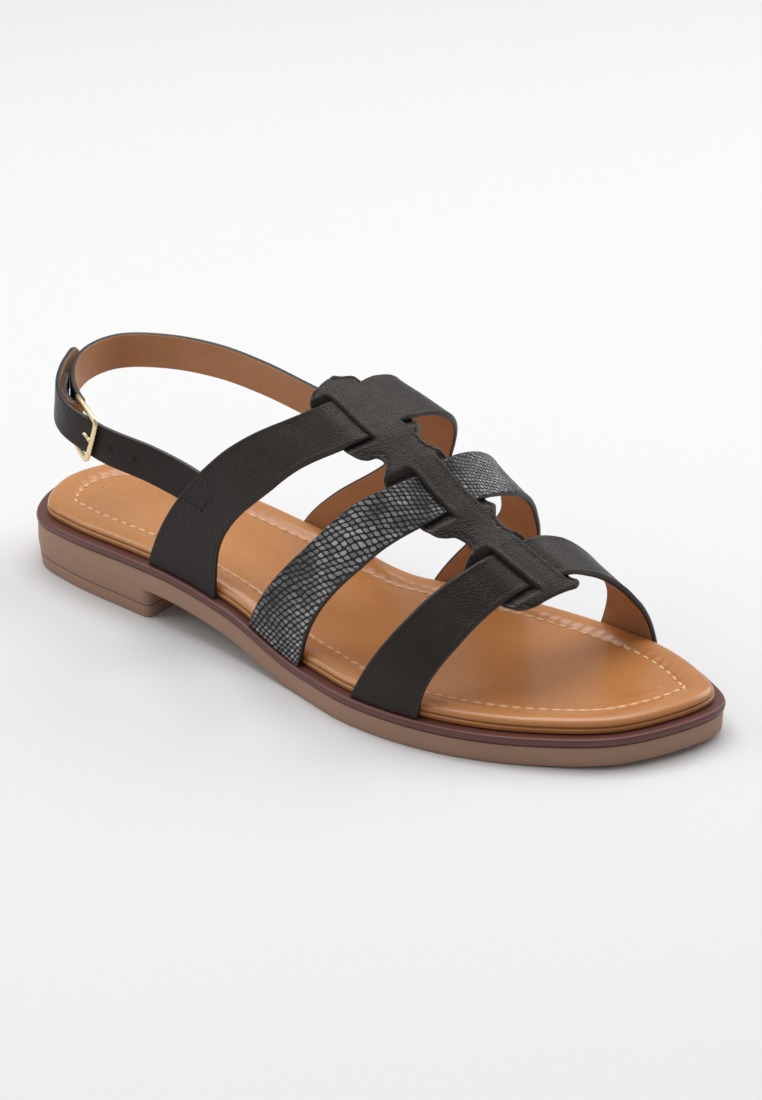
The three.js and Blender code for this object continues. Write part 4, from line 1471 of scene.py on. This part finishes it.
buckle = {
    "height": 17.6,
    "length": 15,
    "wire": 1.8,
    "corner": 2.2,
    "start": 51.5,
    "rise": 3.4,
    "band": 2.6,
    "flat": 0.58,
    "prong": 1.7,
    "prongFlat": 0.8,
    "sides": 16,
    "prongRings": 70,
    "rings": 160,
    "cornerSteps": 6,
    "strapLeave": 0.45,
    "fold": 14,
    "foldSteps": 16,
    "foldSettle": 0.8,
    "foldClearance": 4,
    "holePitch": 9.2,
    "holeSize": 2,
    "holeSoft": 0.12,
    "holeLead": 3,
    "freeHoles": (-2, -1, 2, 3),
}
frontBar = buckle["start"]
rearBar = buckle["start"] + buckle["length"]
barGap = buckle["wire"] / 2 + shoe["fitGap"]
rearBarOut = barGap + sling["thickness"] / 2
frontBarOut = rearBarOut + buckle["rise"]
overStrap = sling["thickness"] + shoe["fitGap"]


def makeHeelStrap():
    steps = []
    for share in np.linspace(0, 1, buckle["foldSteps"] + 1):
        settle = float(smoothStep(share, 0, buckle["foldSettle"]))
        out = overStrap + (2 * rearBarOut - overStrap) * settle
        steps.append((rearBar + buckle["fold"] * (1 - share), out, 0))
    for i in range(1, buckle["foldSteps"]):
        angle = math.pi * i / buckle["foldSteps"]
        run = rearBar - rearBarOut * math.sin(angle)
        steps.append((run, rearBarOut + rearBarOut * math.cos(angle), 0))
    for share in np.linspace(0, 1, sling["heelRows"]):
        steps.append((rearBar + (slingLength - rearBar) * share, 0, 0))
    slingSkin("heel_strap_skin", steps, "heel_strap", black, lining)


# The short strap's way out from the loop, through the buckle and over the fold.
tailEnd = rearBar + sling["tail"]
buckleRoute = smoothColumn(
    table(
        "run out",
        (0, 0),
        (frontBar * buckle["strapLeave"], 0),
        (frontBar, frontBarOut - barGap - sling["thickness"] / 2),
        (rearBar, 2 * rearBarOut + overStrap),
        (rearBar + buckle["fold"] + buckle["foldClearance"], 2 * overStrap),
        (tailEnd - sling["tailBend"], overStrap + sling["tailGap"]),
        (tailEnd, overStrap + sling["tailLift"]),
    ),
    "run",
    "out",
)


def makeBuckleEndStrap():
    tipRadius = sling["width"] * sling["tipShare"]
    steps = []
    for run in np.linspace(0, tailEnd, sling["rows"]):
        into = max(0.0, run - (tailEnd - tipRadius)) / tipRadius
        narrow = sling["tipNarrow"] * tipRadius * (1 - math.sqrt(max(0.0, 1 - into**2)))
        steps.append((run, float(buckleRoute(run)), narrow))
    pegged = buckle["start"] + buckle["holeLead"]
    holes = {
        "runs": [pegged + buckle["holePitch"] * step for step in buckle["freeHoles"]],
        "middle": sling["width"] / 2,
        "radius": buckle["holeSize"] / 2,
        "soft": buckle["holeSoft"],
    }
    outside, inside = blackLeather("punchedBlack", holes), liningLeather("punchedLining", holes)
    slingSkin("buckle_end_skin", steps, "buckle_end_strap", outside, inside)


# A wire through places of the loop, flattened across it.
def wireRings(places, radius, closed, flatten, count, sizeAt=lambda share: 1):
    points = np.array([slingPlace(*place) for place in places])
    path = splineAt(points, np.arange(count) / (count if closed else count - 1), closed)
    if closed:
        along = np.roll(path, -1, axis=0) - np.roll(path, 1, axis=0)
    else:
        along = np.gradient(path, axis=0)
    along /= np.linalg.norm(along, axis=1, keepdims=True)
    run, out, _ = places[len(places) // 2]
    face = slingPlace(run, out + 1, 0) - slingPlace(run, out, 0)
    angles = 2 * np.pi * np.arange(buckle["sides"]) / buckle["sides"]
    rings = []
    for index, (point, direction) in enumerate(zip(path, along)):
        out = face - direction * float(np.dot(face, direction))
        out /= np.linalg.norm(out)
        side = np.cross(direction, out)
        offsets = np.outer(np.cos(angles) * flatten, out) + np.outer(np.sin(angles), side)
        rings.append(point + radius * sizeAt(index / (count - 1)) * offsets)
    return rings


def makeBuckle():
    corner = buckle["corner"]
    halfHeight = (buckle["height"] - buckle["wire"]) / 2
    turns = ((frontBar, -1, 180), (rearBar, -1, 270), (rearBar, 1, 0), (frontBar, 1, 90))
    places = []
    for run, up, turn in turns:
        toMiddle = math.copysign(corner, (frontBar + rearBar) / 2 - run)
        for share in np.linspace(0, 1, buckle["cornerSteps"]):
            angle = math.radians(turn + 90 * share)
            at = run + toMiddle + corner * math.cos(angle)
            height = up * (halfHeight - corner) + corner * math.sin(angle)
            out = rearBarOut + buckle["rise"] * (rearBar - at) / buckle["length"]
            places.append((at, out, height))
    rings = wireRings(places, buckle["band"] / 2, True, buckle["flat"], buckle["rings"])
    piece = addSweep("buckle_frame_skin", rings, [gold], closed=True)
    standIn(piece, "buckle_frame")


# Shares of the buckle's length ahead of the rear bar, and heights in mm.
prong = {
    "straight": 0.3,
    "bend": 0.6,
    "bendSunk": 0.2,
    "fall": 0.78,
    "fallSunk": 0.6,
    "tipBehind": 0.2,
    "tipRise": 0.5,
    "bluntFrom": 0.93,
    "bluntest": 0.02,
}


# The prong leaves the rear bar, passes over the strap and rests on the front bar.
def makeProng():
    run, start = buckle["length"], rearBarOut + barGap + buckle["prong"] / 2
    bend = rearBar - run * prong["bend"]
    places = [
        (rearBar, start, 0),
        (rearBar - run * prong["straight"], start, 0),
        (bend, float(buckleRoute(bend)) - prong["bendSunk"], 0),
        (rearBar - run * prong["fall"], frontBarOut - prong["fallSunk"], 0),
        (frontBar + prong["tipBehind"], frontBarOut + prong["tipRise"], 0),
    ]

    def blunt(share):
        into = max(0.0, share - prong["bluntFrom"]) / (1 - prong["bluntFrom"])
        return math.sqrt(max(prong["bluntest"], 1 - into**2))

    radius, count = buckle["prong"] / 2, buckle["prongRings"]
    rings = wireRings(places, radius, False, buckle["prongFlat"], count, blunt)
    piece = addSweep("buckle_prong_skin", rings, [gold])
    standIn(piece, "buckle_prong")


studio = {
    "floorHalf": 8,
    "world": 0.42,
    "aim": (0.1, 0, 0.03),
    "overhead": {"place": (-0.15, 0.15, 1.3), "energy": 16, "size": (1.3, 1.0)},
    "side": {"place": (-0.9, -0.7, 0.8), "energy": 5, "size": (0.8, 0.8)},
    "rim": {"place": (0.5, 1.2, 0.9), "energy": 9, "size": (1.2, 0.7)},
}


def addLight(name, place, energy, size):
    data = bpy.data.lights.new(name, "AREA")
    data.energy = energy
    data.shape = "RECTANGLE"
    data.size, data.size_y = size
    light = bpy.data.objects.new(name, data)
    light.location = place
    away = Vector(place) - Vector(studio["aim"])
    light.rotation_euler = away.to_track_quat("Z", "Y").to_euler()
    bpy.context.scene.collection.objects.link(light)


def makeStage():
    half = studio["floorHalf"]
    corners = [(-half, -half, 0), (half, -half, 0), (half, half, 0), (-half, half, 0)]
    mesh = bpy.data.meshes.new("floor")
    mesh.from_pydata(corners, [], [(0, 1, 2, 3)])
    mesh.materials.append(paleFloor())
    floor = bpy.data.objects.new("floor", mesh)
    bpy.context.scene.collection.objects.link(floor)
    world = bpy.data.worlds.new("studio")
    world.use_nodes = True
    background = world.node_tree.nodes["Background"]
    background.inputs["Color"].default_value = (1, 1, 1, 1)
    background.inputs["Strength"].default_value = studio["world"]
    bpy.context.scene.world = world
    for name in ("overhead", "side", "rim"):
        addLight(name, **studio[name])


# Angles in degrees. aim and shoeMiddle are millimetres from the back of the heel.
camera = {
    "azimuth": 33.07,
    "elevation": 23.92,
    "roll": 2.55,
    "distance": 1428.8,
    "aim": (29.2, 213.5, 0),
    "shoeMiddle": (136.3, 4.1, 34.5),
    "lens": 117,
    "clipEnd": 50,
}


# It stands where the photo's camera stood, and turns to frame the one shoe.
def makeCamera():
    azimuth, elevation = math.radians(camera["azimuth"]), math.radians(camera["elevation"])
    roll = math.radians(camera["roll"])
    level = math.cos(elevation)
    back = Vector((math.sin(azimuth) * level, -math.cos(azimuth) * level, math.sin(elevation)))
    place = Vector(camera["aim"]) + camera["distance"] * back
    right = Vector((math.cos(azimuth), math.sin(azimuth), 0))
    right = right * math.cos(roll) + back.cross(right) * math.sin(roll)
    back = (place - Vector(camera["shoeMiddle"])).normalized()
    right = (right - back * right.dot(back)).normalized()
    turned = Matrix((right, back.cross(right), back)).transposed().to_4x4()
    data = bpy.data.cameras.new("camera")
    data.lens = camera["lens"]
    data.sensor_fit = "AUTO"
    data.clip_end = camera["clipEnd"]
    view = bpy.data.objects.new("camera", data)
    spot = (place - Vector((shoe["originAhead"], 0, 0))) * mm
    view.matrix_world = Matrix.Translation(spot) @ turned
    bpy.context.scene.collection.objects.link(view)
    bpy.context.scene.camera = view


makeCamera()
makeStage()
print("camera and stage made")
makeSole()
makeWelt()
print("sole made")
makeFootbed()
print("footbed made")
makeStrap("rear_strap", black)
makeBoxStitches()
makeStrap("middle_strap", scales)
makeStrap("front_strap", black)
print("straps made")
makeSpine()
makeSpineStitches()
print("centre piece made")
makeHeelStrap()
makeBuckleEndStrap()
makeBuckle()
makeProng()
print("ankle loop made")

bpy.context.scene.view_settings.view_transform = "Standard"
bpy.context.view_layer.update()
